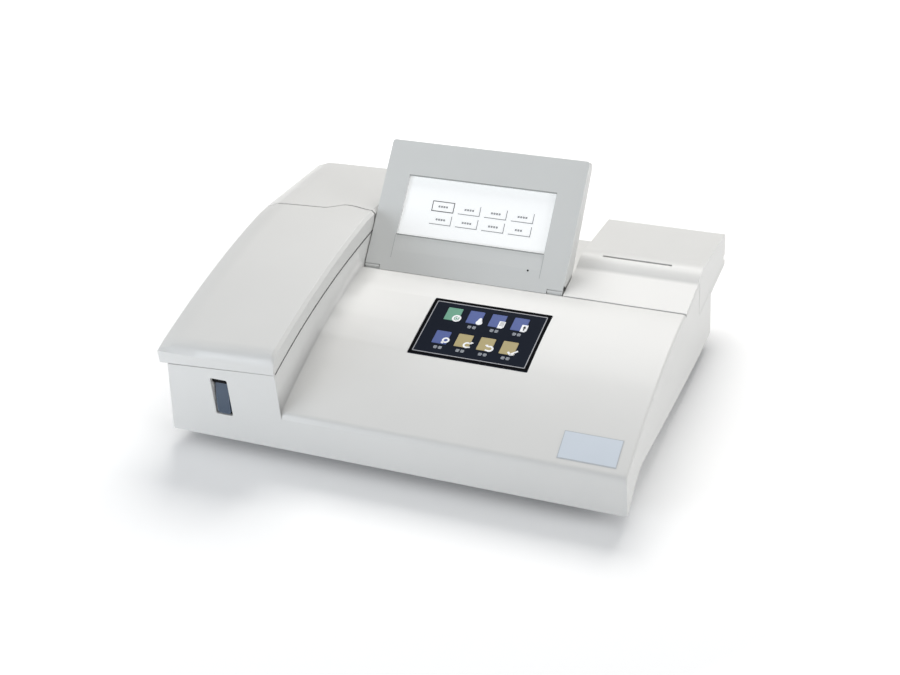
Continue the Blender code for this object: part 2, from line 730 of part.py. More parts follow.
def make_main_case():
    """Moulded upper case: one wall thickness over deck, housing, screen bay and rear shelf."""
    deep = FOOT_HEIGHT - OVERRUN
    joint = HOUSING_RIGHT - WALL * 2
    stations = sorted(set(body_stations(DECK_DEPTH) + spread(0.0, EDGE_RADIUS, EDGE_STEPS)))
    body = loft("case", place([(y, deck_ring(y, 0.0, deck_height(y) - deck_front(y), FOOT_HEIGHT, joint))
                               for y in stations]))
    low_stations = [DECK_DEPTH - WALL * 2] + spread(DECK_DEPTH, BASE_DEPTH, EDGE_STEPS + EDGE_STEPS)
    rear = loft("rear", place([(y, deck_ring(y, 0.0, BAY_FLOOR, FOOT_HEIGHT, joint))
                               for y in low_stations]))
    tub = loft("tub", place([(y, tub_ring(y, 0.0, skirt_height(y) - SEAM_GAP, seam_height(y), FOOT_HEIGHT))
                             for y in body_stations(BASE_DEPTH)]))
    shelf = box("shelf", (HOUSING_RIGHT - WALL, front(BASE_DEPTH - WALL), SHELF_UNDERSIDE),
                (CASE_WIDTH / 2, front(CASE_DEPTH), BAY_FLOOR))
    block = lid_form("block", LID_SEAM_LEFT - OVERRUN, CASE_DEPTH, 0.0,
                     lambda y: BAY_FLOOR - WALL, lambda y: BAY_FLOOR - WALL)
    trim_outline = seam_plan(LID_REAR_GAP)
    trim_outline += [(HOUSING_RIGHT + OVERRUN, front(0.0)), (-CASE_WIDTH / 2 - OVERRUN, front(0.0))]
    trim_block = prism("trim", trim_outline, SHELF_UNDERSIDE - OVERRUN, LID_RIGHT_CREST + OVERRUN, "z")
    cut(block, trim_block)
    cheek_end = front(COVER_SIDE_Y - COVER_TOP_GAP)
    cheek_outline = [(front(DECK_DEPTH - WALL), BAY_FLOOR - WALL), (cheek_end, BAY_FLOOR - WALL),
                     (cheek_end, cover_panel(COVER_SIDE_Y - COVER_TOP_GAP) - COVER_SKIN - REST_GAP),
                     (front(DECK_DEPTH - WALL), cover_panel(DECK_DEPTH - WALL) - COVER_SKIN - REST_GAP)]
    cheek = prism("cheek", cheek_outline, CASE_WIDTH / 2 - WALL, CASE_WIDTH / 2, "x")
    join(body, rear, tub, shelf, block, cheek)

    hollow_deck = loft("hollow", place([(y, deck_ring(y, WALL, deck_height(y) - WALL, deep, joint - WALL))
                                        for y in spread(WALL, DECK_DEPTH - WALL, DECK_STATIONS)]))
    hollow_rear = loft("hollow", place([(y, deck_ring(y, WALL, BAY_FLOOR - WALL, deep, joint - WALL))
                                        for y in [DECK_DEPTH - WALL * 2]
                                        + spread(DECK_DEPTH, BASE_DEPTH - WALL, EDGE_STEPS)]))
    hollow_tub = loft("hollow", place([(y, tub_ring(y, WALL, LID_RIGHT_CREST, LID_RIGHT_CREST + OVERRUN, deep))
                                       for y in spread(WALL, LID_SEAM_LEFT - OVERRUN, DECK_STATIONS)]))
    hollow_back = loft("hollow", place([(y, tub_ring(y, WALL, BAY_FLOOR + WALL, BAY_FLOOR + WALL * 2, deep))
                                        for y in spread(LID_SEAM_LEFT - OVERRUN * 2, BASE_DEPTH - WALL,
                                                        EDGE_STEPS)]))
    hollow_shelf = box("hollow", (HOUSING_RIGHT - WALL - OVERRUN, front(BASE_DEPTH), SHELF_UNDERSIDE - OVERRUN),
                       (CASE_WIDTH / 2 - WALL, front(CASE_DEPTH - WALL), BAY_FLOOR - WALL))
    hollow_block = lid_form("hollow", LID_SEAM_LEFT - OVERRUN * 2, CASE_DEPTH - WALL, WALL,
                            lambda y: BAY_FLOOR, lambda y: BAY_FLOOR)
    cut(body, hollow_deck, hollow_rear, hollow_tub, hollow_back, hollow_shelf, hollow_block)

    printer_hole = box("hole", (PRINTER_LEFT + WALL, front(DECK_DEPTH), BAY_FLOOR - WALL * 2),
                       (CASE_WIDTH / 2 - WALL, front(BASE_DEPTH - WALL * 2), BAY_FLOOR + OVERRUN))
    trigger_hole = round_box("hole", (TRIGGER_X - TRIGGER_SLOT_WIDTH / 2, front(-OVERRUN), TRIGGER_SLOT_FOOT),
                             (TRIGGER_X + TRIGGER_SLOT_WIDTH / 2, front(WALL + OVERRUN), TRIGGER_SLOT_TOP),
                             TRIGGER_CORNER, EDGE_STEPS, "y")
    panel_hole = box("hole", (-PANEL_WIDTH / 2 + PANEL_LAP, front(BASE_DEPTH - WALL - OVERRUN),
                              PANEL_FOOT + PANEL_LAP),
                     (PANEL_WIDTH / 2 - PANEL_LAP, front(BASE_DEPTH + OVERRUN), PANEL_TOP - PANEL_LAP))
    pocket = keypad_box("pocket", KEYPAD_WIDTH / 2 + REST_GAP, KEYPAD_LENGTH / 2 + REST_GAP,
                        -KEYPAD_THICK - REST_GAP, OVERRUN * 2)
    pad = keypad_box("pad", KEYPAD_WIDTH / 2 + KEYPAD_PAD, KEYPAD_LENGTH / 2 + KEYPAD_PAD,
                     -KEYPAD_THICK - REST_GAP - WALL / 2, -KEYPAD_LIFT * 2)
    join(body, pad)
    vents = []
    for i in range(VENT_COUNT):
        x = VENT_FIRST_X + VENT_PITCH * i
        vents.append(round_box("vent", (x, front(CASE_DEPTH - WALL - OVERRUN), VENT_FOOT),
                               (x + VENT_WIDTH, front(CASE_DEPTH + OVERRUN), VENT_TOP),
                               VENT_WIDTH / 2 - REST_GAP, 2, "y"))
    cut(body, printer_hole, trigger_hole, panel_hole, pocket, *vents)
    lid_posts(body)
    cover_posts(body)
    return node(body, "main_case", "case white")


def cover_panel(y):
    """Sloped front panel of the printer cover."""
    rise = (COVER_CREASE_Z - COVER_PANEL_FRONT_Z) / (COVER_CREASE_Y - DECK_DEPTH)
    return COVER_PANEL_FRONT_Z + rise * (y - DECK_DEPTH)


def cover_profile(drop):
    """Top of the printer cover from front to back: panel, rounded nose, flat top."""
    start = DECK_DEPTH + COVER_TOP_GAP
    points = [(start, cover_panel(start) - drop)]
    for share in spread(0.0, 1.0, COVER_HUMP_STEPS):
        y = COVER_CREASE_Y + (NOSE_LEDGE_Y - COVER_CREASE_Y) * share
        z = COVER_CREASE_Z + (NOSE_TOP_Z - COVER_CREASE_Z - COVER_HUMP / 2) * share
        points.append((y, z + COVER_HUMP * math.sin(math.pi * share) - drop))
    return points


def cover_outline(drop, rear, low, shallow):
    """Closed side view; the part before the deep side walls is as thin as the skin."""
    top = cover_profile(drop)
    top += arc((rear - COVER_REAR_ROUND, COVER_REAR_HEIGHT - drop - COVER_REAR_ROUND),
               COVER_REAR_ROUND, 90, 0, EDGE_STEPS)
    under = [(rear, low)]
    if shallow:
        under += [(COVER_SIDE_Y, low), (COVER_SIDE_Y, cover_panel(COVER_SIDE_Y) - COVER_SKIN),
                  (top[0][0], cover_panel(top[0][0]) - COVER_SKIN)]
    else:
        under += [(top[0][0] + COVER_SKIN, low), (top[0][0] + COVER_SKIN, cover_panel(top[0][0]) - COVER_SKIN),
                  (top[0][0], cover_panel(top[0][0]) - COVER_SKIN)]
    return [(front(y), z) for y, z in top + under]


def make_printer_cover():
    """Cover over the printer: front panel, nose with the paper slot, deep rear sides, hinge barrel."""
    left = PRINTER_LEFT
    right = CASE_WIDTH / 2
    low = BAY_FLOOR + REST_GAP
    axis = (front(COVER_AXIS_Y), COVER_AXIS_Z)
    body = prism("cover", cover_outline(0.0, CASE_DEPTH, low, True), left, right, "x")
    join(body, prism("side", cover_outline(0.0, CASE_DEPTH, low, False), left, left + COVER_SKIN, "x"))
    hollow_outline = [(y, z) for y, z in cover_profile(COVER_SKIN)]
    hollow_outline += [(CASE_DEPTH - COVER_SKIN, COVER_REAR_HEIGHT - COVER_SKIN),
                       (CASE_DEPTH - COVER_SKIN, low - OVERRUN),
                       (DECK_DEPTH - OVERRUN, low - OVERRUN),
                       (DECK_DEPTH - OVERRUN, cover_panel(DECK_DEPTH) - COVER_SKIN)]
    hollow = prism("hollow", [(front(y), z) for y, z in hollow_outline],
                   left + COVER_SKIN, right - COVER_SKIN, "x")
    slot = box("slot", (SLOT_LEFT, front(SLOT_Y - SLOT_GAP / 2), COVER_CREASE_Z - OVERRUN * 2),
               (SLOT_LEFT + SLOT_WIDTH, front(SLOT_Y + SLOT_GAP / 2), NOSE_TOP_Z + OVERRUN))
    lip = box("lip", (left - OVERRUN, axis[0], low - OVERRUN),
              (right + OVERRUN, front(CASE_DEPTH + OVERRUN), axis[1] + COVER_LIP))
    cut(body, hollow, slot, lip)
    ear_reach = COVER_PIN_RADIUS + TRAY_WALL / 2 + REST_GAP * 2
    for edge in (COVER_EAR_LEFT, COVER_EAR_RIGHT - COVER_EAR):
        cut(body, box("notch", (edge - REST_GAP, axis[0], low),
                      (edge + COVER_EAR + REST_GAP, axis[0] + ear_reach, axis[1] + COVER_KNUCKLE_RADIUS * 2)))
    barrel_left = COVER_EAR_LEFT + COVER_EAR + REST_GAP
    barrel_right = COVER_EAR_RIGHT - COVER_EAR - REST_GAP
    barrel = rod("barrel", axis, COVER_KNUCKLE_RADIUS, barrel_left, barrel_right, "x", 16)
    web = box("web", (barrel_left, axis[0], axis[1] - COVER_PIN_RADIUS),
              (barrel_right, front(CASE_DEPTH - COVER_SKIN / 2), axis[1] + COVER_KNUCKLE_RADIUS))
    join(body, barrel, web)
    bore = COVER_PIN_RADIUS + REST_GAP
    cut(body, rod("bore", axis, bore, barrel_left - OVERRUN, barrel_right + OVERRUN, "x", 16))
    return node(body, "printer_cover", "case white", (0.0, axis[0], axis[1]))


def cover_posts(body):
    """Ears on the rear shelf that carry the printer cover's hinge rod."""
    axis = (front(COVER_AXIS_Y), COVER_AXIS_Z)
    for low, high in ((COVER_EAR_LEFT, COVER_EAR_LEFT + COVER_EAR),
                      (COVER_EAR_RIGHT - COVER_EAR, COVER_EAR_RIGHT)):
        ear = box("ear", (low, axis[0] - COVER_KNUCKLE_RADIUS, BAY_FLOOR - WALL / 2),
                  (high, axis[0] + COVER_PIN_RADIUS + REST_GAP, axis[1]))
        top = rod("ear top", axis, COVER_PIN_RADIUS + REST_GAP + TRAY_WALL / 2, low, high, "x", 16)
        join(body, ear, top)
        cut(body, rod("bore", axis, COVER_PIN_RADIUS + REST_GAP, low - OVERRUN, high + OVERRUN, "x", 16))


def lid_arm_places():
    """Middle of each hinge arm across the housing."""
    return [-CASE_WIDTH / 2 + HOUSING_WIDTH * share for share in LID_ARM_SHARES]


def lid_posts(body):
    """Posts under the rear block's skin that carry the lid's hinge rod."""
    axis = (front(LID_AXIS_Y), LID_AXIS_Z)
    reach = LID_ARM_WIDTH / 2 + LID_EAR / 2 + REST_GAP
    left, right = lid_arm_places()
    for x in (left + reach, right - reach):
        post = box("post", (x - LID_EAR / 2, axis[0] - LID_KNUCKLE_RADIUS, axis[1] - LID_KNUCKLE_RADIUS),
                   (x + LID_EAR / 2, axis[0] + LID_KNUCKLE_RADIUS, LID_RIGHT_CREST + OVERRUN))
        clip = lid_form("clip", LID_SEAM_JOG + OVERRUN, CASE_DEPTH - WALL, WALL / 2,
                        lambda y: SHELF_UNDERSIDE, lambda y: SHELF_UNDERSIDE)
        join(body, common(post, clip))
        cut(body, rod("bore", axis, LID_PIN_RADIUS + REST_GAP, x - LID_EAR, x + LID_EAR, "x", 16))


def polar(axis, radius, degrees):
    """Point at a radius from the lid's axis, degrees above the line towards the front."""
    angle = math.radians(degrees)
    return (axis[0] - radius * math.cos(angle), axis[1] + radius * math.sin(angle))


def lid_arm(x):
    """Sickle-shaped hinge arm that passes under the fixed skin as the lid swings up."""
    axis = (front(LID_AXIS_Y), LID_AXIS_Z)
    angles = spread(LID_ARM_HIGH_ANGLE, LID_ARM_LOW_ANGLE, LID_ARM_STEPS)
    outline = [polar(axis, LID_ARM_RADIUS + LID_ARM_DEPTH, a) for a in angles]
    knuckle = spread(LID_ARM_LOW_ANGLE - RIGHT_ANGLE, LID_ARM_LOW_ANGLE - RIGHT_ANGLE * 3, LID_ARM_STEPS)
    outline += [polar(axis, LID_KNUCKLE_RADIUS, a) for a in knuckle]
    outline += [polar(axis, LID_ARM_RADIUS, a) for a in reversed(angles[:-1])]
    arm = prism("arm", outline, x - LID_ARM_WIDTH / 2, x + LID_ARM_WIDTH / 2, "x")
    clip = lid_form("clip", LID_NOSE_RUN + OVERRUN, CASE_DEPTH, WALL / 2, lambda y: 0.0, lambda y: 0.0)
    return common(arm, clip)


def make_left_lid():
    """Domed lid of the left housing: one skin, side skirts and two hinge arms."""
    axis = (front(LID_AXIS_Y), LID_AXIS_Z)
    body = lid_form("lid", 0.0, LID_SEAM_JOG + OVERRUN, 0.0,
                    skirt_height, lambda y: seam_height(y) + SEAM_GAP)
    hollow = lid_form("hollow", WALL, LID_SEAM_JOG + OVERRUN * 2, WALL,
                      lambda y: FOOT_HEIGHT, lambda y: FOOT_HEIGHT)
    outline = seam_plan(0.0)
    outline += [(HOUSING_RIGHT + OVERRUN, front(CASE_DEPTH)), (-CASE_WIDTH / 2 - OVERRUN, front(CASE_DEPTH))]
    rear = prism("rear", outline, FOOT_HEIGHT, LID_RIGHT_CREST + OVERRUN, "z")
    fixed_y = front(LID_SEAM_RIGHT + LID_REAR_GAP)
    right_clear = math.hypot(axis[0] - fixed_y, lid_right_height(LID_SEAM_RIGHT) - axis[1]) + SEAM_GAP
    right_sweep = rod("sweep", axis, right_clear, HOUSING_RIGHT - WALL, HOUSING_RIGHT + OVERRUN, "x", 96)
    cut(body, hollow, rear, right_sweep)
    arms = [lid_arm(x) for x in lid_arm_places()]
    join(body, *arms)
    for x in lid_arm_places():
        cut(body, rod("bore", axis, LID_PIN_RADIUS + REST_GAP, x - LID_ARM_WIDTH, x + LID_ARM_WIDTH, "x", 16))
    return node(body, "left_lid", "case white", (0.0, axis[0], axis[1]))


def make_hinge_rods():
    """Steel rods that the lid and the printer cover turn on."""
    axis = (front(LID_AXIS_Y), LID_AXIS_Z)
    left, right = lid_arm_places()
    over = LID_ARM_WIDTH / 2 + REST_GAP
    lid_rod = rod("rod", axis, LID_PIN_RADIUS, left - over, right + over, "x", 16)
    node(lid_rod, "lid_hinge_rod", "steel")
    axis = (front(COVER_AXIS_Y), COVER_AXIS_Z)
    cover_rod = rod("rod", axis, COVER_PIN_RADIUS, COVER_EAR_LEFT, COVER_EAR_RIGHT, "x", 16)
    node(cover_rod, "cover_hinge_rod", "steel")


def keypad_matrix():
    """Places a flat shape onto the chord of the deck under the keypad."""
    low = KEYPAD_Y - KEYPAD_LENGTH / 2
    high = KEYPAD_Y + KEYPAD_LENGTH / 2
    slope = math.atan2(deck_height(high) - deck_height(low), high - low)
    middle = (deck_height(low) + deck_height(high)) / 2
    normal = Vector((0.0, -math.sin(slope), math.cos(slope)))
    centre = Vector((KEYPAD_X, front(KEYPAD_Y), middle)) + normal * KEYPAD_LIFT
    return Matrix.Translation(centre) @ Matrix.Rotation(slope, 4, "X")


def keypad_box(name, half_width, half_length, low, high):
    """Box lying on the keypad's plane, centred on it."""
    piece = box(name, (-half_width, -half_length, low), (half_width, half_length, high))
    piece.data.transform(keypad_matrix())
    return piece


def key_places():
    """Middle of each key on the keypad, front row first."""
    places = []
    for i in range(len(KEY_NAMES)):
        row, column = divmod(i, KEYS_PER_ROW)
        x = KEY_COLUMN_OFFSET + KEY_COLUMN_PITCH * (column - (KEYS_PER_ROW - 1) / 2)
        y = KEY_ROW_OFFSET + KEY_ROW_PITCH * (row - 1 / 2)
        places.append((x, y))
    return places


def make_keypad():
    """Bezel plate with a window for each key, and the eight keys flush in it."""
    plate = round_box("plate", (-KEYPAD_WIDTH / 2, -KEYPAD_LENGTH / 2, -KEYPAD_THICK),
                      (KEYPAD_WIDTH / 2, KEYPAD_LENGTH / 2, 0.0), KEYPAD_CORNER)
    half = (KEY_WIDTH / 2, KEY_LENGTH / 2)
    sink = KEYPAD_THICK - KEY_TRAVEL
    for x, y in key_places():
        well = box("well", (x - half[0] - KEY_GAP, y - half[1] - KEY_GAP, -KEYPAD_THICK - OVERRUN),
                   (x + half[0] + KEY_GAP, y + half[1] + KEY_GAP, OVERRUN))
        cut(plate, well)
    place_keypad = keypad_matrix()
    plate.data.transform(place_keypad)
    node(plate, "keypad_plate", "navy film")
    for (name, finish), (x, y) in zip(KEY_NAMES, key_places()):
        key = round_box(name, (x - half[0], y - half[1], -sink), (x + half[0], y + half[1], 0.0), KEY_GAP * 2)
        key.data.transform(place_keypad)
        node(key, name, finish, place_keypad @ Vector((x, y, 0.0)))


def screen_axis():
    """Pivot of the screen: just inside its front foot edge."""
    up = Vector((0.0, math.cos(SCREEN_TILT), math.sin(SCREEN_TILT)))
    out = Vector((0.0, -math.sin(SCREEN_TILT), math.cos(SCREEN_TILT)))
    radius = math.hypot(SCREEN_AXIS_UP, SCREEN_AXIS_INSET)
    edge = front(DECK_DEPTH) + SCREEN_DECK_GAP + radius
    lift = (up * SCREEN_AXIS_UP - out * SCREEN_AXIS_INSET).z
    return Vector((SCREEN_X, edge, DECK_REAR_HEIGHT + lift))


def screen_matrix():
    """Screen frame: x across, y up its face, z out of its face, origin on the hinge axis."""
    return Matrix.Translation(screen_axis()) @ Matrix.Rotation(SCREEN_TILT, 4, "X")


def screen_node(piece, name, finish):
    piece.data.transform(screen_matrix())
    return node(piece, name, finish, screen_axis())


def screen_foot_cuts(depth):
    """Notches at both foot corners where the hinge eyes stand."""
    half = SCREEN_WIDTH / 2
    cuts = []
    sides = ((-half - OVERRUN, -half + SCREEN_NOTCH_WIDTH), (half - SCREEN_NOTCH_WIDTH, half + OVERRUN))
    for low, high in sides:
        cuts.append(box("notch", (low, -SCREEN_AXIS_UP - OVERRUN, -depth),
                        (high, SCREEN_NOTCH_DEPTH - SCREEN_AXIS_UP, SCREEN_AXIS_INSET + OVERRUN)))
    return cuts


def make_screen():
    """Folding screen: grey bezel, display, wedge-shaped white back and two hinge brackets."""
    half = SCREEN_WIDTH / 2
    foot = -SCREEN_AXIS_UP
    head = SCREEN_HEIGHT - SCREEN_AXIS_UP
    face = SCREEN_AXIS_INSET
    bezel = round_box("bezel", (-half, foot, face - BEZEL_THICK), (half, head, face), BEZEL_CORNER)
    window = (WINDOW_OFFSET - WINDOW_WIDTH / 2, WINDOW_FOOT + foot,
              WINDOW_OFFSET + WINDOW_WIDTH / 2, WINDOW_FOOT + WINDOW_HEIGHT + foot)
    opening = box("window", (window[0], window[1], face - BEZEL_THICK - OVERRUN),
                  (window[2], window[3], face + OVERRUN))
    step_outline = [(window[1] + OVERRUN, face + OVERRUN), (window[1] + OVERRUN, face - WINDOW_STEP),
                    (window[1], face - WINDOW_STEP), (window[1] - WINDOW_STEP_RUN, face + REST_GAP),
                    (window[1] - WINDOW_STEP_RUN, face + OVERRUN)]
    step = prism("step", step_outline, window[0], window[2], "x")
    seat = box("seat", (window[0] - LCD_MARGIN - REST_GAP, window[1] - LCD_MARGIN - REST_GAP,
                        face - BEZEL_THICK - OVERRUN),
               (window[2] + LCD_MARGIN + REST_GAP, window[3] + LCD_MARGIN + REST_GAP,
                face - BEZEL_THICK + LCD_THICK / 2))
    cut(bezel, opening, step, seat, *screen_foot_cuts(SCREEN_FOOT_THICK))
    lcd_front = face - BEZEL_THICK + LCD_THICK / 2 - REST_GAP
    lcd = box("lcd", (window[0] - LCD_MARGIN, window[1] - LCD_MARGIN, lcd_front - LCD_THICK),
              (window[2] + LCD_MARGIN, window[3] + LCD_MARGIN, lcd_front))
    joint = face - BEZEL_THICK - REST_GAP
    deep = face - SCREEN_FOOT_THICK
    shallow = face - SCREEN_TOP_THICK
    outline = [(foot, joint), (foot, deep + EDGE_RADIUS)]
    outline += arc((foot + EDGE_RADIUS, deep + EDGE_RADIUS), EDGE_RADIUS, 180, 270, EDGE_STEPS)[1:]
    outline += arc((head - EDGE_RADIUS, shallow + EDGE_RADIUS), EDGE_RADIUS, 270, 360, EDGE_STEPS)
    outline += [(head, joint)]
    back = prism("back", outline, -half, half, "x")
    wall = SCREEN_BACK_WALL
    inner = [(foot + wall, joint + OVERRUN), (foot + wall, deep + EDGE_RADIUS),
             (foot + EDGE_RADIUS, deep + wall), (head - EDGE_RADIUS, shallow + wall),
             (head - wall, shallow + EDGE_RADIUS), (head - wall, joint + OVERRUN)]
    hollow = prism("hollow", inner, -half + wall, half - wall, "x")
    cut(back, hollow)
    for sign in (-1, 1):
        inside = sign * (half - SCREEN_NOTCH_WIDTH - SCREEN_PIN_REACH - wall)
        outside = sign * (half - wall / 2)
        notch_box = box("boss", (min(inside, outside), foot + wall / 2, -SCREEN_NOTCH_DEPTH - wall),
                        (max(inside, outside), SCREEN_NOTCH_DEPTH - SCREEN_AXIS_UP + wall, joint))
        join(back, notch_box)
    cut(back, *screen_foot_cuts(SCREEN_NOTCH_DEPTH))
    reach = SCREEN_NOTCH_WIDTH + SCREEN_PIN_REACH
    for sign in (-1, 1):
        ends = sorted((sign * (half - SCREEN_NOTCH_WIDTH + OVERRUN), sign * (half - reach - REST_GAP)))
        for part in (back, bezel):
            cut(part, rod("bore", (0.0, 0.0), SCREEN_PIN_RADIUS + REST_GAP, ends[0], ends[1], "x", 12))
    screen_node(bezel, "screen_bezel", "bezel grey")
    screen_node(lcd, "screen_display", "glass")
    screen_node(back, "screen_back", "case white")
    make_screen_hinges()


def make_screen_hinges():
    """Fixed hinge brackets: a leaf on the deck's rear wall, an eye and a pin into the screen."""
    axis = screen_axis()
    half = SCREEN_WIDTH / 2
    wall_y = front(DECK_DEPTH) + REST_GAP
    for name, sign in (("screen_hinge_left", -1), ("screen_hinge_right", 1)):
        outer = axis.x + sign * (half - REST_GAP * 2)
        inner = axis.x + sign * (half - SCREEN_NOTCH_WIDTH + REST_GAP * 2)
        low, high = sorted((outer, inner))
        eye = rod(name, (axis.y, axis.z), SCREEN_EYE_RADIUS, low, high, "x", 16)
        leaf = box("leaf", (low, wall_y, axis.z - HINGE_LEAF_HEIGHT),
                   (high, wall_y + HINGE_LEAF, axis.z - HINGE_LEAF))
        arm = box("arm", (low, wall_y, axis.z - HINGE_LEAF * 2),
                  (high, axis.y, axis.z - HINGE_LEAF / 2))
        pin_end = axis.x + sign * (half - SCREEN_NOTCH_WIDTH - SCREEN_PIN_REACH + REST_GAP)
        pin_low, pin_high = sorted((pin_end, inner + sign * OVERRUN))
        pin = rod("pin", (axis.y, axis.z), SCREEN_PIN_RADIUS, pin_low, pin_high, "x", 12)
        join(eye, leaf, arm, pin)
        node(eye, name, "steel")


def make_trigger():
    """Aspirate trigger: curved plate hinged at its top inside a guide, and its switch."""
    low_x = TRIGGER_X - TRIGGER_SLOT_WIDTH / 2
    high_x = TRIGGER_X + TRIGGER_SLOT_WIDTH / 2
    wall = TRIGGER_GUIDE_WALL
    guide = box("guide", (low_x - wall, front(WALL + REST_GAP), TRIGGER_SLOT_FOOT - wall),
                (high_x + wall, front(TRIGGER_GUIDE_DEPTH), TRIGGER_SLOT_TOP + wall))
    bore = box("bore", (low_x, front(0.0), TRIGGER_SLOT_FOOT),
               (high_x, front(TRIGGER_GUIDE_DEPTH + OVERRUN), TRIGGER_SLOT_TOP))
    cut(guide, bore)
    pivot = (front(WALL + TRIGGER_TOP_DEPTH), TRIGGER_SLOT_TOP - TRIGGER_PIN_DROP)
    cut(guide, rod("hole", pivot, TRIGGER_PIN_RADIUS + REST_GAP,
                   low_x - wall - OVERRUN, high_x + wall + OVERRUN, "x", 12))
    node(guide, "trigger_guide", "case white")
    face = front(TRIGGER_TOP_DEPTH)
    top = TRIGGER_SLOT_TOP - REST_GAP * 2
    foot = TRIGGER_SLOT_FOOT + REST_GAP * 4
    shares = spread(0.0, 1.0, EDGE_STEPS * 2)
    outer = [(face + TRIGGER_BULGE * math.sin(math.pi / 2 * s) ** 2, top + (foot - top) * s) for s in shares]
    inner = [(y + TRIGGER_THICK, z) for y, z in reversed(outer)]
    plate = prism("plate", outer + inner, TRIGGER_X - TRIGGER_WIDTH / 2, TRIGGER_X + TRIGGER_WIDTH / 2, "x")
    ear = rod("ear", pivot, TRIGGER_PIN_DROP - REST_GAP * 2, TRIGGER_X - TRIGGER_WIDTH / 2,
              TRIGGER_X + TRIGGER_WIDTH / 2, "x", 16)
    pin = rod("pin", pivot, TRIGGER_PIN_RADIUS, low_x - wall, high_x + wall, "x", 12)
    join(plate, ear, pin)
    node(plate, "aspirate_trigger", "trigger blue", (TRIGGER_X, pivot[0], pivot[1]))
    _, depth, height = SWITCH_BODY
    start = front(TRIGGER_GUIDE_DEPTH + REST_GAP)
    middle = (TRIGGER_SLOT_FOOT + TRIGGER_SLOT_TOP) / 2
    switch = box("switch", (TRIGGER_X - TRIGGER_SLOT_WIDTH / 2 - wall, start, middle - height / 2),
                 (TRIGGER_X + TRIGGER_SLOT_WIDTH / 2 + wall, start + depth, middle + height / 2))
    plunger = rod("plunger", (TRIGGER_X, middle), SWITCH_PLUNGER,
                  start - SWITCH_REACH, start + SWITCH_PLUNGER, "y", 12)
    join(switch, plunger)
    node(switch, "trigger_switch", "black plastic")


def rear_hole(x, width, height, radius=0.0):
    """Tool through the rear panel at x: a box, or a rod where a radius is given."""
    middle = (PANEL_FOOT + PANEL_TOP) / 2
    low = (x - width / 2, front(BASE_DEPTH - OVERRUN), middle - height / 2)
    high = (x + width / 2, front(BASE_DEPTH + OVERRUN * 2), middle + height / 2)
    if radius:
        return rod("hole", (x, middle), radius, low[1], high[1], "y", 24)
    return box("hole", low, high)


def make_rear_panel():
    """Steel plate with the inlet, rocker, serial socket, waste spout and fan openings."""
    plate = round_box("plate", (-PANEL_WIDTH / 2, front(BASE_DEPTH) + REST_GAP, PANEL_FOOT),
                      (PANEL_WIDTH / 2, front(BASE_DEPTH) + REST_GAP + PANEL_THICK, PANEL_TOP),
                      PANEL_THICK, 2, "y")
    rim = REST_GAP * 2
    frame = ROCKER_FRAME_WALL * 2 + rim
    cut(plate, rear_hole(INLET_X, INLET_WIDTH + rim, INLET_HEIGHT + rim),
        rear_hole(ROCKER_X, ROCKER_WIDTH + frame, ROCKER_HEIGHT + frame),
        rear_hole(SERIAL_X, SERIAL_SHELL_WIDTH + SERIAL_SLANT * 2 + rim, SERIAL_SHELL_HEIGHT + rim),
        rear_hole(WASTE_X, 0.0, 0.0, WASTE_RADIUS + REST_GAP))
    middle = (PANEL_FOOT + PANEL_TOP) / 2
    ring = (FAN_BORE_RADIUS + FAN_HUB_RADIUS) / 2
    half = FAN_STRUT / 2
    for low, high in ((FAN_HUB_RADIUS, ring - half), (ring + half, FAN_BORE_RADIUS)):
        inner, outer = (math.degrees(half / radius) for radius in (low, high))
        for quarter in range(FAN_STRUTS):
            start = RIGHT_ANGLE * quarter - RIGHT_ANGLE / 2
            end = start + RIGHT_ANGLE
            outline = arc((FAN_X, middle), high, start + outer, end - outer, GRILLE_STEPS)
            outline += arc((FAN_X, middle), low, end - inner, start + inner, GRILLE_STEPS)
            cut(plate, prism("sector", outline, front(BASE_DEPTH - OVERRUN),
                             front(BASE_DEPTH + OVERRUN * 2), "y"))
    node(plate, "rear_panel", "black metal")


def make_inlet():
    """Mains inlet: flanged body with a keyed socket and three blades."""
    middle = (PANEL_FOOT + PANEL_TOP) / 2
    face = front(BASE_DEPTH) + REST_GAP * 2 + PANEL_THICK
    half_x, half_z = INLET_WIDTH / 2, INLET_HEIGHT / 2
    body = box("inlet", (INLET_X - half_x, face - INLET_DEPTH, middle - half_z),
               (INLET_X + half_x, face + INLET_FLANGE_THICK, middle + half_z))
    rim_x, rim_z = half_x + INLET_FLANGE, half_z + INLET_FLANGE
    flange = round_box("flange", (INLET_X - rim_x, face, middle - rim_z),
                       (INLET_X + rim_x, face + INLET_FLANGE_THICK, middle + rim_z),
                       INLET_FLANGE, EDGE_STEPS, "y")
    join(body, flange)
    wall = INLET_WALL
    corner = INLET_FLANGE
    left, right = INLET_X - half_x + wall, INLET_X + half_x - wall
    foot, top = middle - half_z + wall, middle + half_z - wall
    outline = [(left, foot), (right, foot), (right, top - corner), (right - corner, top), (left + corner, top),
               (left, top - corner)]
    socket = prism("socket", outline, face + INLET_FLANGE_THICK - INLET_SOCKET_DEPTH, face + OVERRUN, "y")
    cut(body, socket)
    blade_x, blade_z = INLET_BLADE
    floor = face + INLET_FLANGE_THICK - INLET_SOCKET_DEPTH
    for step in (-1, 0, 1):
        x = INLET_X + INLET_BLADE_PITCH * step
        z = middle + (blade_z / 2 if step == 0 else -blade_z / 4)
        join(body, box("blade", (x - blade_x / 2, floor - wall / 2, z - blade_z / 2),
                       (x + blade_x / 2, face - INLET_BLADE_SINK, z + blade_z / 2)))
    node(body, "power_inlet", "black plastic")


